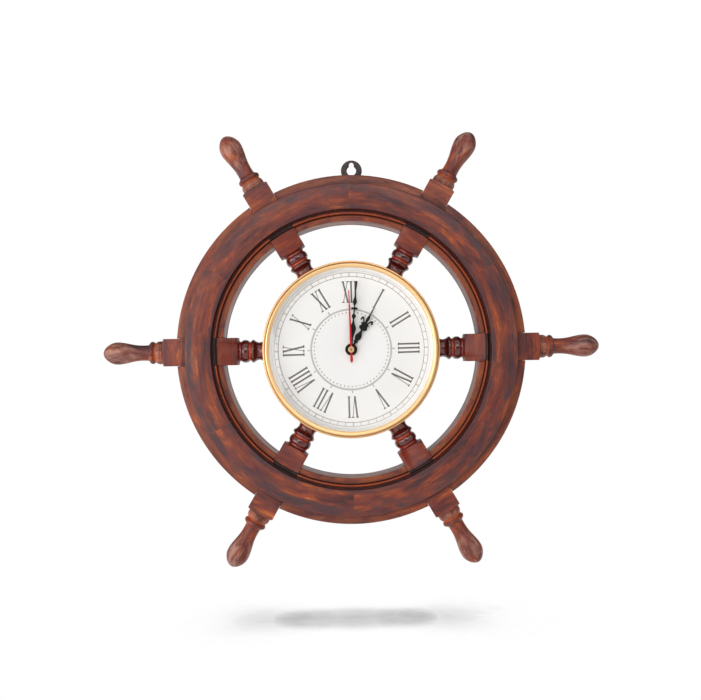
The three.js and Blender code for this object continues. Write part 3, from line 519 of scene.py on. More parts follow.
def polished_brass():
    """Spun and lacquered brass: a warm pale yellow mirror with faint lathe rings and a few dull spots."""
    material, tree, shader = new_material("polished_brass")
    rings = add(
        tree, "ShaderNodeTexNoise", {"W": ring_distance(tree), "Scale": 6.0, "Detail": 3.0},
        noise_dimensions="1D")
    place = add(tree, "ShaderNodeTexCoord").outputs["Object"]
    spots = add(tree, "ShaderNodeTexNoise", {"Vector": place, "Scale": 60.0, "Detail": 4.0})
    colour = add(
        tree, "ShaderNodeMix", {0: spots, 6: linear("#ecc088"), 7: linear("#f4cd98")}, data_type="RGBA")
    rough = add(tree, "ShaderNodeMapRange", {
        "Value": spots, "From Min": 0.35, "From Max": 0.7, "To Min": 0.34, "To Max": 0.42})
    bump = add(tree, "ShaderNodeBump", {"Height": rings, "Strength": 0.12, "Distance": 0.0001})
    connect(tree, shader, {"Base Color": colour, "Metallic": 1.0, "Roughness": rough, "Normal": bump})
    return material


def clear_glass():
    """A flat polished pane: it passes the light straight through and mirrors a little of the room."""
    material, tree, _ = new_material("mineral_glass")
    tree.nodes.clear()
    place = add(tree, "ShaderNodeTexCoord").outputs["Object"]
    dust = add(tree, "ShaderNodeTexNoise", {"Vector": place, "Scale": 90.0, "Detail": 5.0})
    haze = add(tree, "ShaderNodeMapRange", {"Value": dust, "From Min": 0.5, "From Max": 0.9, "To Max": 0.01})
    clear = add(tree, "ShaderNodeBsdfTransparent", {"Color": (1.0, 1.0, 1.0, 1.0)})
    mirror = add(tree, "ShaderNodeBsdfGlossy", {"Roughness": haze})
    # Only the faces that a ray goes in by mirror, a little more strongly, for the pane's two sides together
    inner = add(tree, "ShaderNodeNewGeometry").outputs["Backfacing"]
    outer = add(tree, "ShaderNodeMath", {0: 1.0, 1: inner}, operation="SUBTRACT")
    gloss = add(tree, "ShaderNodeFresnel", {"IOR": 1.7})
    share = add(tree, "ShaderNodeMath", {0: gloss, 1: outer}, operation="MULTIPLY")
    mixed = add(tree, "ShaderNodeMixShader", {0: share, 1: clear, 2: mirror})
    add(tree, "ShaderNodeOutputMaterial", {"Surface": mixed})
    return material


# Along the rims: rubbed felloes on both sides, the bright bead between two channels painted near-black
# red as the shade in them, the inner one partly grime, and the ring, darker at its edges
RIM_ZONES = [
    (117.0, "#a15526", 0.35), (121.8, "#8a451f", 0.4), (122.5, "#3c0c05", 1.0), (123.0, "#3c0c05", 1.0),
    (123.6, "#a1400d", 0.6), (124.8, "#a1400d", 0.6), (125.7, "#450d05", 1.0), (127.3, "#450d05", 1.0),
    (127.9, "#433136", 0.6), (130.5, "#433136", 0.45), (133.0, "#8d492f", 0.1), (142.0, "#473338", 0.3),
    (147.0, "#433135", 0.5), (151.2, "#433135", 0.45), (152.3, "#8d4e2f", 0.3), (158.6, "#8d4e2f", 0.35),
    (159.5, "#432a26", 0.5)]

# Along a spoke: thick dark red stain on the turned inner end, orange in the handle's groove, and pale
# pink places on the collar and the swell, partly wear and partly a painted sheen of the varnish
SPOKE_ZONES = [
    (77.0, "#8a2a0b", 1.0), (83.0, "#671808", 1.0), (87.0, "#4d1009", 1.0), (91.2, "#4d1009", 1.0),
    (92.2, "#9f310b", 1.0), (93.8, "#9f310b", 1.0), (95.2, "#4d1009", 1.0), (99.7, "#4d1009", 1.0),
    (101.0, "#8d210b", 1.0), (103.0, "#67180b", 1.0), (104.2, "#742c20", 0.5), (127.0, "#742c20", 0.42),
    (128.0, "#69382f", 0.0), (171.5, "#69382f", 0.0), (173.0, "#ae725b", 0.45), (178.6, "#ae725b", 0.45),
    (179.4, "#ae4c11", 0.8), (180.9, "#a1400f", 0.8), (181.8, "#552a26", 0.5), (186.0, "#69382f", 0.0),
    (200.0, "#ba8a79", 0.25), (212.0, "#ba8a79", 0.36), (228.6, "#ba8a79", 0.3)]

# The hub and the boards behind are only stained
BACK_ZONES = [(60.0, "#69382f", 0.0), (160.0, "#69382f", 0.0)]

rim_wood = stained_hardwood(
    "stained_rim_wood", RIM_ZONES, specular=0.35, glossy=(122.6, 127.3), gloss=0.25, coat=1.0)
back_wood = stained_hardwood(
    "stained_back_wood", BACK_ZONES, specular=0.35, glossy=(200.0, 201.0), gloss=0.42, coat=1.0)
spoke_wood = stained_hardwood(
    "stained_spoke_wood", SPOKE_ZONES, specular=0.35, glossy=(1.0, 101.5), gloss=0.2, coat=1.45)
brass = polished_brass()
glass_pane = clear_glass()

# The plain finishes give their colour, share of metal, roughness, speckle, bump depth and grain size
# Blackened steel sheet: brown-black, with a dull sheen
black_iron = plain_finish("blackened_steel", "#3d3634", 0.6, 0.45, 0.25, 0.05, 0.8)
# Stoved enamel: an even warm white without gloss, and flat grey-brown inks printed on it
dial_card = plain_finish("matt_dial_enamel", "#fbfaf8", 0.0, 0.55, 0.01, 0.01, 0.4)
dial_ink = plain_finish("dial_ink", "#6c635e", 0.0, 0.6, 0.12, 0.005, 0.5)
faint_ink = plain_finish("faint_dial_ink", "#c3beba", 0.0, 0.6, 0.06, 0.005, 0.5)
# Moulded polystyrene: cream white with a satin gloss
spacer_white = plain_finish("white_spacer_styrene", "#fcf8f4", 0.0, 0.35, 0.01, 0.01, 0.6)
# Sprayed paint on sheet: a deep colour with little gloss, so that the hands stay clear on the dial
hand_black = plain_finish("black_hand_paint", "#0a0909", 0.0, 0.45, 0.1, 0.01, 0.5, specular=0.15)
hand_red = plain_finish("red_hand_paint", "#cc1013", 0.0, 0.45, 0.06, 0.01, 0.5, specular=0.2)
# Moulded ABS with a spark-eroded skin: black with a soft grainy gloss
black_plastic = plain_finish("black_moulded_abs", "#161617", 0.0, 0.45, 0.15, 0.04, 0.35)
# Moulded acetal: milky white and waxy
acetal = plain_finish("white_acetal", "#e2dccb", 0.0, 0.4, 0.03, 0.01, 0.6)
# Drawn steel: a bright grey with a blurred mirror
steel = plain_finish("bright_steel", "#b8babc", 1.0, 0.28, 0.05, 0.01, 0.3)
# Enamelled copper wire, wound: orange-brown, with fine ridges that glint
copper = plain_finish("enamelled_copper", "#b2602a", 0.9, 0.3, 0.12, 0.08, 0.25)
# Annealed iron: a dull dark grey metal
iron = plain_finish("annealed_iron", "#6c6e70", 1.0, 0.5, 0.1, 0.02, 0.6)
# Solder mask on a board: smooth dark green lacquer
board_resin = plain_finish("green_solder_mask", "#1f5f31", 0.0, 0.35, 0.08, 0.02, 0.8)
# Shrunk plastic sleeve on the cell: slate blue and fairly glossy
cell_sleeve = plain_finish("battery_sleeve", "#2d3b46", 0.3, 0.3, 0.04, 0.01, 1.0)
# Cut rubber sheet: black and dull
rubber = plain_finish("black_rubber", "#1b1b1b", 0.0, 0.8, 0.1, 0.03, 0.5)


# Turned outlines run along the spoke, as (distance from the wheel's axis, radius)


def baluster_line():
    """The turned inner end: a hollow foot, then a small and a large bead with grooves between."""
    foot = flowing([(SHOULDER, 11.3), (79.2, 10.7), (81.2, 9.2), (84.4, 8.2), (86.8, 8.8), (88.5, 9.9)])
    small_bead = flowing([(88.5, 9.9), (89.1, 10.5), (90.1, 10.75), (91.2, 10.4), (91.8, 9.7)])
    groove = flowing([(91.8, 9.7), (92.4, 9.1), (93.3, 9.05), (94.0, 9.6)])
    large_bead = flowing([(94.0, 9.6), (95.0, 10.3), (97.4, 10.7), (99.4, 10.35), (100.3, 9.7)])
    last_groove = flowing([(100.3, 9.7), (100.9, 9.2), (102.3, 9.2), (103.2, 10.1)])
    return foot + small_bead + groove + large_bead + last_groove


def block_line():
    """The square block: the lathe rounds the four corners where it runs into them and out of them."""
    inner = flowing([(103.6, 12.5), (104.0, 14.2), (104.9, 16.1), (106.1, 17.6), (107.4, 18.6)])
    outer = flowing([(169.4, 18.6), (170.6, 17.6), (171.5, 16.1), (172.2, 14.2), (172.4, 12.5)])
    return inner + outer


def handle_line():
    """The handle: a collar, a groove, a ring, a thin neck and a long swell to a round tip."""
    collar = flowing([(172.6, 10.5), (173.3, 10.85), (174.4, 10.75), (174.4, 10.75), (174.8, 10.35),
                      (175.3, 10.6), (175.3, 10.6), (177.2, 10.5), (178.6, 9.9), (179.5, 9.3)])
    groove = flowing([(179.5, 9.3), (180.1, 9.0), (181.0, 9.3)])
    ring = flowing([(181.0, 9.3), (181.7, 10.0), (183.0, 10.35), (184.3, 10.0), (185.2, 9.1)])
    neck = flowing([(185.2, 9.1), (185.9, 8.0), (187.2, 7.25), (190.3, 7.05), (194.0, 7.1), (197.7, 7.45),
                    (201.3, 8.05), (205.0, 8.85), (208.7, 9.6), (212.4, 10.15), (215.2, 10.3),
                    (218.0, 10.05), (220.7, 9.2), (223.0, 7.95), (225.2, 6.3), (227.0, 4.3), (228.1, 2.2)])
    return collar + groove + ring + neck + [(WHEEL_RADIUS, 0.0)]


def make_spokes():
    """Each spoke is one length of square bar, turned at both ends, with its lathe-cut shoulders."""
    line = [(TENON_END, 0.0), (TENON_END, TENON_RADIUS), (SHOULDER, TENON_RADIUS)]
    line += baluster_line() + block_line() + handle_line()
    line = [p for i, p in enumerate(line) if i == 0 or p != line[i - 1]]
    for number in range(SPOKES):
        bm = turned([(radius, x) for x, radius in line], steps=TURNED_STEPS, closed=False)
        turn(bm, 90, "Y")
        for side in (Vector((0, 1, 0)), Vector((0, -1, 0)), Vector((0, 0, 1)), Vector((0, 0, -1))):
            cut_off(bm, side * BAR / 2, side)
        ease(bm, EASING, segments=2, sharper=48.0)
        set_grain(bm, brushed_grain)
        turn(bm, number * STEP_ANGLE)
        name = f"spoke_{number + 1}"
        piece(bm, name + "_turned", "root", spoke_wood, "spoke_wood", name, crease=40.0)


def arc_piece(section, start, end, gap):
    """A length of ring between two rays, its ends parallel to the rays and set back by the gap."""
    margin = 4.0
    bm = turned(section, steps=30, angle=end - start + 2 * margin)
    turn(bm, start - margin)
    for ray, side in ((start, 1), (end, -1)):
        x, y = polar(ray + 90, side)
        cut_off(bm, Vector((x, y, 0)) * gap, -Vector((x, y, 0)))
    return bm


def make_rims():
    """Six boards each for the front ring with its bead, the felloes and the ring behind."""
    bead_top = RIM_BACK + BEAD_HEIGHT
    channel = bead_top - CHANNEL_DEPTH
    front_section = fillet([
        (RIM_BEAD, RIM_BACK, 0.3), (RIM_RADIUS, RIM_BACK, 0.3), (RIM_RADIUS, RIM_FRONT, 1.3),
        (RIM_INSIDE, RIM_FRONT, 0.7), (RIM_INSIDE, channel, 0.4), (RIM_BEAD + BEAD_WIDTH + 0.1, channel, 0.3),
        (RIM_BEAD + BEAD_WIDTH, bead_top, 0.8), (RIM_BEAD, bead_top, 0.9)])
    felloe_section = fillet([
        (FELLOE_INSIDE, FELLOE_BACK, 0.5), (FELLOE_RADIUS, FELLOE_BACK, 1.2),
        (FELLOE_RADIUS, FELLOE_FRONT, 2.0), (FELLOE_INSIDE, FELLOE_FRONT, 0.7)])
    rear_section = fillet([
        (FELLOE_INSIDE, REAR_BACK, 0.3), (RIM_RADIUS, REAR_BACK, 1.3),
        (RIM_RADIUS, REAR_FRONT, 0.3), (FELLOE_INSIDE, REAR_FRONT, 0.3)])
    for number in range(SPOKES):
        ray = number * STEP_ANGLE
        half = STEP_ANGLE / 2
        boards = [
            ("front_rim", front_section, ray - half, ray + half, FINE_JOINT / 2, rim_wood),
            ("felloe", felloe_section, ray, ray + STEP_ANGLE, BAR / 2 + GLUE_GAP, rim_wood),
            ("rear_rim", rear_section, ray, ray + STEP_ANGLE, FINE_JOINT / 2, back_wood),
        ]
        for board, section, start, end, gap, wood in boards:
            bm = arc_piece(section, start, end, gap)
            turn(bm, -(start + end) / 2)
            set_grain(bm, round_grain)
            turn(bm, (start + end) / 2)
            name = f"{board}_{number + 1}"
            piece(bm, name + "_board", "root", wood, "rim_wood", name)


def box_shape(left, bottom, right, top, back, front, radius):
    """A block with its four upright edges rounded."""
    corners = [(left, bottom), (right, bottom), (right, top), (left, top)]
    return plate(fillet([(x, y, radius) for x, y in corners]), back, front)


def make_hub():
    """A turned disc with a square pocket behind for the movement and round sockets for the tenons."""
    disc = turned(fillet([
        (BORE, HUB_BACK, 0.3), (HUB_RADIUS, HUB_BACK, 2.0), (HUB_RADIUS, HUB_FRONT, 0.8),
        (BORE, HUB_FRONT, 0.3)]))
    shell_low, shell_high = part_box("movement_shell")
    room = 1.0
    pocket = box_shape(
        shell_low.x * 1000 - room, shell_low.z * 1000 - room, shell_high.x * 1000 + room,
        shell_high.z * 1000 + room, HUB_BACK - 2, depths("rubber_washer")[1] + GLUE_GAP, 1.5)
    hub = carve(disc, pocket)
    bottom, width, past_edge = TENON_END - GLUE_GAP, TENON_RADIUS + GLUE_GAP, 82.0
    for number in range(SPOKES):
        socket = turned([
            (0.0, bottom), (width, bottom), (width, SOCKET_SEAT), (SOCKET_RADIUS, SOCKET_SEAT),
            (SOCKET_RADIUS, past_edge), (0.0, past_edge)], steps=48, closed=False)
        turn(socket, 90, "Y")
        hub = carve(hub, turn(socket, number * STEP_ANGLE))
    ease(hub, 0.4, segments=2, sharper=50.0)
    set_grain(hub, straight_grain)
    piece(hub, "hub_disc", "root", back_wood, "rim_wood", "hub")


def make_hanger():
    """Pressed keyhole plate: a round head on a tab, all its edges a little rolled."""
    head = PLATE_TOP - PLATE_HEAD
    neck = math.degrees(math.asin(PLATE_TAB / 2 / PLATE_HEAD))
    rim = [polar(-90 + neck + (360 - 2 * neck) * i / 40, PLATE_HEAD) for i in range(41)]
    outline = [(-PLATE_TAB / 2, PLATE_FOOT), (PLATE_TAB / 2, PLATE_FOOT)]
    outline += [(x, y + head) for x, y in rim]
    body = plate(outline, PLATE_BACK, PLATE_FRONT)
    slot_turn = math.degrees(math.asin(KEY_SLOT / 2 / KEYHOLE))
    hole = [polar(90 + slot_turn + (360 - 2 * slot_turn) * i / 28, KEYHOLE) for i in range(29)]
    slot = [polar(180 * i / 12, KEY_SLOT / 2) for i in range(13)]
    keyhole = [(x, y + head) for x, y in hole] + [(x, y + head + KEY_RISE) for x, y in slot]
    body = carve(body, plate(keyhole, PLATE_BACK - 1, PLATE_FRONT + 1))
    for screw in (1, 2):
        low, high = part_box(f"hanger_screw_{screw}")
        height = (low.z + high.z) * 500
        sink = turned([
            (0.0, PLATE_BACK - 1), (SINK_RADIUS + 0.3, PLATE_BACK - 1), (SINK_RADIUS, PLATE_BACK),
            (SCREW_HOLE, PLATE_FRONT), (SCREW_HOLE, PLATE_FRONT + 1), (0.0, PLATE_FRONT + 1)],
            steps=32, closed=False)
        body = carve(body, move(sink, 0, height, 0))
    ease(body, 0.25, segments=2, sharper=50.0)
    move(body, PLATE_ASIDE, 0, 0)
    piece(body, "hanger_keyhole_plate", "root", black_iron, "black_metal", "hanger_plate")
    for screw in (1, 2):
        make_screw(screw)


def make_screw(number):
    """Countersunk wood screw with a straight slot and a thread."""
    node = f"hanger_screw_{number}"
    low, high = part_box(node)
    height = (low.z + high.z) * 500
    back, front = depths(node)
    line = [(0.0, back), (SCREW_HEAD - 0.18, back), (SCREW_HEAD, back + 0.12), (SCREW_SHANK, back + 1.8)]
    place = back + 3.4
    while place < front - 2.2:
        line += [
            (THREAD_ROOT, place), (THREAD_CREST, place + THREAD_PITCH / 2),
            (THREAD_ROOT, place + THREAD_PITCH * 0.9)]
        place += THREAD_PITCH
    line += [(1.0, front - 1.6), (0.0, front)]
    screw = turned(line, steps=32, closed=False)
    half = SCREW_SLOT / 2
    drive = box_shape(-4.0, -half, 4.0, half, back - 1, back + SCREW_SLOT, 0.1)
    screw = carve(screw, turn(drive, 25 + 70 * number))
    piece(move(screw, PLATE_ASIDE, height, 0), node + "_threaded", "root", brass, "brass", node)


def make_case():
    """The spun pan, the beaded bezel with its pane, the white spacer ring and the dial."""
    pan = fillet([
        (BORE, PAN_BACK, 0.1), (PAN_RADIUS, PAN_BACK, 0.8), (PAN_RADIUS, PAN_FRONT, 0.3),
        (PAN_RADIUS - PAN_WALL, PAN_FRONT, 0.3), (PAN_RADIUS - PAN_WALL, PAN_BACK + PAN_BASE, 0.4),
        (BORE, PAN_BACK + PAN_BASE, 0.1)])
    piece(turned(pan), "case_pan_spun", "root", brass, "brass", "case_pan")
    skirt = PAN_RADIUS + GLUE_GAP
    seat = GLASS_RADIUS + GLUE_GAP
    lip = GLASS_FRONT + GLUE_GAP
    crest = (BEZEL_OPENING + BEZEL_BAND) / 2
    edge, back, front = BEZEL_RADIUS, BEZEL_BACK, BEZEL_FRONT
    band = flowing([
        (edge, back), (edge, back), (edge, back + 0.9), (edge - 0.3, back + 1.5), (edge - 0.9, back + 1.7),
        (edge - 1.5, back + 1.4), (edge - 1.9, back + 1.1), (edge - 1.9, back + 1.1),
        (BEZEL_BAND + 0.15, back + 1.4), (BEZEL_BAND + 0.08, back + 4.5), (BEZEL_BAND, front - 3.2),
        (BEZEL_BAND - 0.5, front - 1.5), (BEZEL_BAND - 1.3, front - 0.4), (crest, front),
        (crest - 1.0, front - 0.35), (BEZEL_OPENING + 0.35, front - 0.9), (BEZEL_OPENING, front - 1.5),
        (BEZEL_OPENING, front - 1.5), (BEZEL_OPENING, lip)], steps=3)
    inside = [(seat, lip), (seat, SPACER_FRONT), (skirt, SPACER_FRONT), (skirt, back)]
    ring = turned(band + inside, steps=BEZEL_STEPS)
    piece(ring, "bezel_spun", "bezel_and_glass", brass, "brass", "bezel")
    pane = fillet([
        (0.0, GLASS_BACK, 0), (GLASS_RADIUS, GLASS_BACK, 0.3), (GLASS_RADIUS, GLASS_FRONT, 0.3),
        (0.0, GLASS_FRONT, 0)])
    piece(turned(pane, closed=False), "glass_pane", "bezel_and_glass", glass_pane, "clear_glass", "glass")
    spacer = fillet([
        (DIAL_OPENING, SPACER_BACK, 0.1), (DIAL_RADIUS, SPACER_BACK, 0.2),
        (DIAL_RADIUS, SPACER_FRONT, 0.2), (BEZEL_OPENING, SPACER_FRONT, 0.25)])
    piece(turned(spacer), "spacer_ring_moulded", "root", spacer_white, "spacer_white", "spacer_ring")
    disc = fillet([
        (BORE, DIAL_BACK, 0.1), (DIAL_RADIUS, DIAL_BACK, 0.15), (DIAL_RADIUS, DIAL_FRONT, 0.15),
        (BORE, DIAL_FRONT, 0.1)])
    piece(turned(disc), "dial_disc", "root", dial_card, "dial_white", "dial")


# Sizes of the print, which stands a few hundredths of a millimetre on the dial
INK = 0.04
NUMERALS = ("XII", "I", "II", "III", "IV", "V", "VI", "VII", "VIII", "IX", "X", "XI")
NUMERAL_FOOT = 42.2
NUMERAL_HEAD = 61.6
THICK_STROKE = 1.5
THIN_STROKE = 0.55
SERIF = 0.9
SERIF_REACH = 1.25
LETTER_WIDTHS = {"I": 3.75, "V": 6.6, "X": 6.8}
TRACK_INSIDE = 65.8
TRACK_OUTSIDE = 69.4
HOUR_TICK = 1.0
MINUTE_TICK = 0.6
INNER_CIRCLE = 36.1
HOUR_MARK = (37.0, 39.4)
DOT_CIRCLE = 33.4
DOT_RADIUS = 0.55


def stroke(bm, start, end, width):
    """One straight bar of ink."""
    start, end = Vector(start), Vector(end)
    run = end - start
    bar = bmesh.new()
    bmesh.ops.create_cube(bar, size=1.0)
    bmesh.ops.scale(bar, verts=bar.verts, vec=(run.length, width, INK))
    turn(bar, math.degrees(math.atan2(run.y, run.x)))
    middle = (start + end) / 2
    move(bar, middle.x, middle.y, DIAL_FRONT + INK / 2)
    return join(bm, bar)


def letter(bm, kind, x):
    """One Roman letter, centred on x, foot to head along y, with its serifs."""
    low, high = NUMERAL_FOOT, NUMERAL_HEAD
    if kind == "I":
        ends = [(x, low), (x, high)]
        stroke(bm, (x, low), (x, high), THICK_STROKE)
    elif kind == "V":
        spread = 2.0
        ends = [(x - spread, high), (x + spread, high)]
        stroke(bm, (x - spread, high), (x - 0.1, low), THICK_STROKE)
        stroke(bm, (x + spread, high), (x + 0.1, low), THIN_STROKE)
    else:
        spread = 2.1
        ends = [(x - spread, low), (x + spread, low), (x - spread, high), (x + spread, high)]
        stroke(bm, (x - spread, high), (x + spread, low), THICK_STROKE)
        stroke(bm, (x + spread, high), (x - spread, low), THIN_STROKE)
    for end_x, end_y in ends:
        inward = SERIF / 2 if end_y == low else -SERIF / 2
        stroke(bm, (end_x - SERIF_REACH, end_y + inward), (end_x + SERIF_REACH, end_y + inward), SERIF)


def make_print():
    """Radial Roman numerals, a minute track between two circles, an inner circle and a ring of dots."""
    ink, faint = bmesh.new(), bmesh.new()
    for hour, numeral in enumerate(NUMERALS):
        written = bmesh.new()
        x = -sum(LETTER_WIDTHS[kind] for kind in numeral) / 2
        for kind in numeral:
            letter(written, kind, x + LETTER_WIDTHS[kind] / 2)
            x += LETTER_WIDTHS[kind]
        join(ink, turn(written, -30 * hour))
    for minute in range(60):
        width = HOUR_TICK if minute % 5 == 0 else MINUTE_TICK
        tick = stroke(bmesh.new(), (0, TRACK_INSIDE), (0, TRACK_OUTSIDE), width)
        join(faint, turn(tick, -6 * minute))
    join(ink, ink_circle(TRACK_INSIDE, 0.42))
    join(faint, ink_circle(TRACK_OUTSIDE, 0.6))
    join(faint, ink_circle(INNER_CIRCLE, 1.6))
    for hour in range(12):
        mark = stroke(bmesh.new(), (0, HOUR_MARK[0]), (0, HOUR_MARK[1]), 0.6)
        join(ink, turn(mark, -30 * hour))
    for minute in range(60):
        dot = bmesh.new()
        bmesh.ops.create_cone(
            dot, cap_ends=True, segments=10, radius1=DOT_RADIUS, radius2=DOT_RADIUS, depth=INK)
        move(dot, 0, DOT_CIRCLE, DIAL_FRONT + INK / 2)
        join(ink, turn(dot, -6 * minute))
    piece(turn(ink, DIAL_TURN), "dial_numerals", "root", dial_ink, "dial_white", crease=20.0)
    piece(turn(faint, DIAL_TURN), "dial_faint_lines", "root", faint_ink, "dial_white", crease=20.0)


def ink_circle(radius, width):
    """A printed circle, as a flat ring of ink."""
    low, high, top = radius - width / 2, radius + width / 2, DIAL_FRONT + INK
    return turned([(low, DIAL_FRONT), (high, DIAL_FRONT), (high, top), (low, top)])


def mirrored(half):
    """A whole outline from its right half, foot to tip."""
    return half + [(-x, y) for x, y in reversed(half) if x > 1e-6]


def make_hand(name, half, boss, bore, turned_by, body, material, slot):
    """A hand stamped from sheet, with a round boss and eased edges, turned clockwise to its place."""
    back, front = depths(name)
    blade = plate(mirrored(half), back + 0.02, front - 0.02)
    ease(blade, 0.07, segments=2, sharper=60.0)
    turn(blade, -turned_by)
    disc = fillet([(bore, back, 0.05), (boss, back, 0.1), (boss, front, 0.15), (bore, front, 0.05)])
    piece(join(blade, turned(disc, steps=64)), name + "_stamped", body, material, slot, name)


def minute_half():
    """A long leaf, a small bead, a cross bar, a second bead and a blade that widens to a square end."""
    leaf = [(0.95, 4.9), (0.95, 9.0), (1.1, 11.7), (2.1, 15.0), (2.8, 18.2), (2.7, 19.8), (1.8, 22.4),
            (0.9, 25.2), (0.65, 27.8), (0.65, 27.8)]
    bead = [(1.5, 28.7), (1.9, 29.9), (1.5, 31.1), (0.65, 32.2), (0.65, 32.2)]
    bar = [(0.65, 36.1), (0.65, 36.1), (2.4, 36.1), (2.85, 36.5), (2.95, 37.0), (2.85, 37.5), (2.4, 37.9),
           (0.65, 37.9), (0.65, 37.9)]
    point = [(0.65, 39.8), (0.65, 39.8), (1.5, 41.6), (1.8, 43.1), (1.5, 44.6), (0.75, 47.6), (0.55, 50.5),
             (0.65, 55.0), (0.9, 59.5), (0.9, 59.5), (0.9, 61.6)]
    return flowing(leaf + bead + bar + point, steps=3)


def hour_half():
    """Leaf-shaped below, then a lily with a thorn and a hooked leaf on each side, and a thin point."""
    leaf = [(0.95, 5.2), (1.0, 6.4), (1.3, 7.3), (2.3, 8.1), (2.3, 8.1), (1.6, 8.8), (1.6, 9.4), (2.1, 10.7),
            (2.9, 12.4), (2.5, 14.6), (1.6, 17.0), (0.9, 18.6), (0.75, 19.6), (0.75, 19.6)]
    lily = [(1.9, 20.1), (3.4, 21.0), (3.9, 22.1), (3.5, 23.2), (3.0, 24.0), (3.3, 24.9), (4.4, 25.7),
            (4.4, 25.7), (3.4, 26.1), (2.75, 26.7)]
    hook = [(2.9, 27.6), (3.4, 28.8), (4.1, 29.5), (4.6, 28.9), (4.75, 27.9), (5.4, 27.6), (5.95, 28.6),
            (5.8, 30.2), (5.1, 31.2), (4.1, 31.3), (2.9, 30.2), (2.1, 28.7), (1.6, 27.8), (0.95, 27.5),
            (0.95, 27.5)]
    point = [(1.15, 29.2), (1.4, 31.0), (1.25, 32.6), (0.8, 34.2), (0.55, 35.6), (0.5, 38.0), (0.45, 41.8)]
    return flowing(leaf + lily + hook + point, steps=3)


def second_half():
    """A needle with a drop-shaped counterweight behind the axis."""
    return [(0.05, -12.1), (0.9, -10.9), (1.35, -9.7), (1.25, -8.0), (0.85, -4.5), (0.85, 2.0), (0.95, 9.0),
            (0.42, 53.4)]


def make_hands():
    """The three hands, each with its boss and bore, and the cap and the nut that hold the stack."""
    make_hand(
        "hour_hand", hour_half(), boss=5.45, bore=3.0, turned_by=HOUR_TURN,
        body="hour_pipe", material=hand_black, slot="hand_black")
    make_hand(
        "minute_hand", minute_half(), boss=4.2, bore=1.85, turned_by=MINUTE_TURN,
        body="minute_arbor", material=hand_black, slot="hand_black")
    make_hand(
        "second_hand", second_half(), boss=1.9, bore=0.9, turned_by=SECOND_TURN,
        body="second_arbor", material=hand_red, slot="hand_red")
    back, front = depths("centre_cap")
    cap = fillet([(0.9, back, 0.05), (2.75, back, 0.1), (2.75, front, 0.45), (0.9, front, 0.15)])
    piece(turned(cap, steps=64), "centre_cap_turned", "second_arbor", brass, "brass", "centre_cap")
    back, front = depths("hex_nut")
    corner = reach("hex_nut")
    nut = plate([polar(60 * i, corner) for i in range(6)], back, front)
    hole = [(0.0, back - 1), (BORE, back - 1), (BORE, front + 1), (0.0, front + 1)]
    nut = carve(nut, turned(hole, steps=48, closed=False))
    ease(nut, 0.2, segments=2, sharper=50.0)
    piece(nut, "spindle_nut", "root", brass, "brass", "hex_nut")


def eased_copy(node, name, body, material, slot, width):
    """The node's own shape with its sharp edges rounded, as moulded and stamped pieces have them."""
    bm = bmesh.new()
    bm.from_mesh(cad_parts[node].data)
    bmesh.ops.transform(bm, matrix=TO_ROOM.inverted(), verts=bm.verts)
    bmesh.ops.remove_doubles(bm, verts=bm.verts, dist=1e-3)
    bmesh.ops.dissolve_limit(bm, angle_limit=math.radians(1), verts=bm.verts, edges=bm.edges)
    ease(bm, width, segments=2, sharper=50.0)
    piece(bm, name, body, material, slot, node)


def make_movement():
    """The moulded shell, the cell and the knob, and finishes for the plain works inside."""
    eased_copy("rear_cover", "rear_cover_moulded", "root", black_plastic, "black_plastic", 0.3)
    eased_copy("movement_shell", "movement_shell_moulded", "root", black_plastic, "black_plastic", 0.3)
    low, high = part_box("battery")
    height, depth = (low.z + high.z) * 500, (MIDDLE - (low.y + high.y) / 2) * 1000
    half, radius = (high.x - low.x) * 500, (high.z - low.z) * 500
    cell = turned(fillet([
        (0.0, -half, 0), (radius - 1.4, -half, 0.2), (radius - 1.4, -half + 0.3, 0.1),
        (radius, -half + 0.3, 0.6), (radius, half - 1.3, 0.7), (radius - 1.6, half - 1.3, 0.2),
        (radius - 1.8, half - 1.0, 0.2), (2.7, half - 1.0, 0.3), (2.7, half, 0.5), (0.0, half, 0)]),
        steps=64, closed=False)
    turn(cell, 90, "Y")
    piece(move(cell, 0, height, depth), "battery_cell", "cell", cell_sleeve, "battery_jacket", "battery")
    knob_low, knob_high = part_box("setting_knob")
    back = depths("setting_knob")[0]
    x, y = (knob_low.x + knob_high.x) * 500, (knob_low.z + knob_high.z) * 500
    knob_radius = (knob_high.x - knob_low.x) * 500
    corners = KNOB_RIBS * 4
    outline = []
    for i in range(corners):
        outline.append(polar(360 * i / corners, knob_radius - (KNOB_RIB_DEPTH if i % 4 > 1 else 0.02)))
    grip = plate(outline, back + 0.02, back + KNOB_THICKNESS)
    ease(grip, 0.12, segments=1, sharper=70.0)
    root, tip = back + KNOB_THICKNESS - 0.08, back + KNOB_SHAFT_LENGTH
    shaft = turned(
        [(0.0, root), (KNOB_SHAFT_RADIUS, root), (KNOB_SHAFT_RADIUS, tip), (0.0, tip)],
        steps=24, closed=False)
    knob = move(join(grip, shaft), x, y, 0)
    piece(knob, "setting_knob_ribbed", "knob", black_plastic, "black_plastic", "setting_knob")
    finishes = {
        "rubber_washer": rubber, "train_bridge": black_plastic, "contact_positive": steel,
        "contact_negative": steel, "coil": copper, "coil_core": iron, "stator": iron,
        "circuit_board": board_resin, "quartz_crystal": steel, "cannon_pinion": steel, "hour_wheel": brass,
        "reverser_wheel": acetal, "second_wheel": steel, "third_wheel": acetal, "centre_wheel": brass,
        "fifth_wheel": acetal, "rotor": iron}
    for node, material in finishes.items():
        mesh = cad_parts[node].data
        mesh.materials.clear()
        mesh.materials.append(material)


# The photograph's view, in metres: 647 mm across the wheel's middle plane, seen from 0.9 m, with the
# camera a little to the left and below the axis
VIEW_DISTANCE = 0.9
VIEW_WIDTH = 0.6474
VIEW_ASIDE = -0.00065
VIEW_BELOW = -0.00045
FLOOR = -0.248
FLOOR_SIZE = 40.0


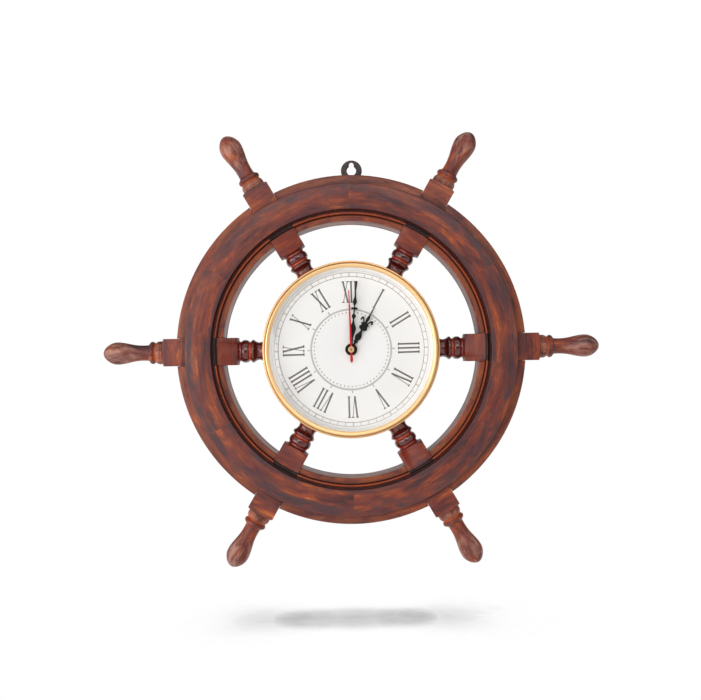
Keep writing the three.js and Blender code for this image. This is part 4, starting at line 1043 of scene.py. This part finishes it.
def make_camera():
    """The camera looks straight back at the wheel, turned so that the wheel leans as in the photograph."""
    camera = bpy.data.cameras.new("camera")
    camera.sensor_width = 36.0
    camera.lens = camera.sensor_width * VIEW_DISTANCE / VIEW_WIDTH
    seen = bpy.data.objects.new("camera", camera)
    seen.matrix_world = (
        Matrix.Translation((VIEW_ASIDE, MIDDLE - VIEW_DISTANCE, VIEW_BELOW))
        @ Matrix.Rotation(math.pi / 2, 4, "X")
        @ Matrix.Rotation(math.radians(-WHEEL_TURN), 4, "Z")
    )
    bpy.context.scene.collection.objects.link(seen)
    bpy.context.scene.camera = seen


def area_light(name, place, target, width, height, power):
    """A flat soft box that faces the target, its sizes in metres and its power in watts."""
    lamp = bpy.data.lights.new(name, "AREA")
    lamp.shape = "RECTANGLE"
    lamp.size = width
    lamp.size_y = height
    lamp.energy = power
    light = bpy.data.objects.new(name, lamp)
    light.location = place
    light.rotation_euler = (Vector(target) - Vector(place)).to_track_quat("-Z", "Y").to_euler()
    bpy.context.scene.collection.objects.link(light)


def seen_rays(tree):
    """1 for what the camera sees, itself, in a mirror or through glass, and 0 for light on things."""
    path = add(tree, "ShaderNodeLightPath").outputs
    seen = path["Is Camera Ray"]
    for kind in ("Is Glossy Ray", "Is Transmission Ray"):
        seen = add(tree, "ShaderNodeMath", {0: seen, 1: path[kind]}, operation="MAXIMUM")
    return seen


def make_floor():
    """A white floor with the soft shadow of what stands close above it. Its front part is dim in mirrors."""
    material, tree, _ = new_material("white_floor")
    tree.nodes.clear()
    above = add(tree, "ShaderNodeAmbientOcclusion", {"Distance": 0.1}, samples=64).outputs["AO"]
    shade = set_stops(add(tree, "ShaderNodeValToRGB", {"Fac": above}), [
        (0.924, "#b2b2b2"), (0.935, "#c8c8c8"), (0.946, "#e2e2e2"), (0.96, "#f4f4f4"), (0.975, "#fdfdfd"),
        (0.985, "#ffffff")])
    place = add(tree, "ShaderNodeSeparateXYZ", {0: add(tree, "ShaderNodeTexCoord").outputs["Object"]})
    near = add(tree, "ShaderNodeMapRange", {
        "Value": place.outputs["Y"], "From Min": -1.6, "From Max": -0.8, "To Min": 0.15, "To Max": 1.0})
    direct = add(tree, "ShaderNodeLightPath").outputs["Is Camera Ray"]
    level = add(tree, "ShaderNodeMath", {0: near, 1: direct}, operation="MAXIMUM")
    matt = add(tree, "ShaderNodeBsdfDiffuse", {"Color": linear("#ffffff")})
    white = add(tree, "ShaderNodeEmission", {"Color": shade, "Strength": level})
    both = add(tree, "ShaderNodeMixShader", {0: seen_rays(tree), 1: matt, 2: white})
    add(tree, "ShaderNodeOutputMaterial", {"Surface": both})
    bm = bmesh.new()
    bmesh.ops.create_grid(bm, x_segments=1, y_segments=1, size=FLOOR_SIZE)
    mesh = bpy.data.meshes.new("floor")
    bm.to_mesh(mesh)
    bm.free()
    mesh.transform(Matrix.Translation((0, 0, FLOOR)))
    mesh.materials.append(material)
    floor = bpy.data.objects.new("floor", mesh)
    floor.visible_shadow = False
    bpy.context.scene.collection.objects.link(floor)


def make_world():
    """A white room. In mirrors it is bright in front, and dim round the lens and beside the wheel."""
    world = bpy.data.worlds.new("white_room")
    bpy.context.scene.world = world
    world.use_nodes = True
    tree = world.node_tree
    tree.nodes.clear()
    way = add(tree, "ShaderNodeTexCoord").outputs["Generated"]
    back = add(tree, "ShaderNodeVectorMath", {0: way, 1: (0.0, 1.0, 0.0)}, operation="DOT_PRODUCT")
    fitted = add(tree, "ShaderNodeMapRange", {"Value": back, "From Min": -1.0})
    in_mirrors = set_stops(add(tree, "ShaderNodeValToRGB", {"Fac": fitted}), [
        (0.0, "#5a5a5a"), (0.03, "#a0a0a0"), (0.12, "#ffffff"), (0.48, "#ffffff"), (0.6, "#6a6a6a"),
        (0.87, "#7a7a7a"), (0.95, "#ffffff")])
    path = add(tree, "ShaderNodeLightPath").outputs
    falling = 0.38
    level = add(tree, "ShaderNodeMix", {
        0: seen_rays(tree), 6: (falling, falling, falling, 1.0), 7: in_mirrors}, data_type="RGBA")
    shown = add(tree, "ShaderNodeMix", {
        0: path["Is Camera Ray"], 6: level, 7: linear("#ffffff")}, data_type="RGBA")
    sky = add(tree, "ShaderNodeBackground", {"Color": shown, "Strength": 1.0})
    add(tree, "ShaderNodeOutputWorld", {"Surface": sky})


def make_studio():
    """Two large soft boxes: one low on the left, and a weaker one in front, too high to show in the pane."""
    make_floor()
    make_world()
    area_light("left_light", (-0.82, -0.76, -0.3), (0, 0, 0), width=1.4, height=1.2, power=14.4)
    area_light("front_light", (0.1, -1.8, 0.8), (0, 0, 0.05), width=1.6, height=0.4, power=9.3)
    bpy.context.scene.view_settings.view_transform = "Standard"


make_camera()
make_studio()
make_spokes()
make_rims()
make_hub()
make_hanger()
make_case()
make_print()
make_hands()
make_movement()
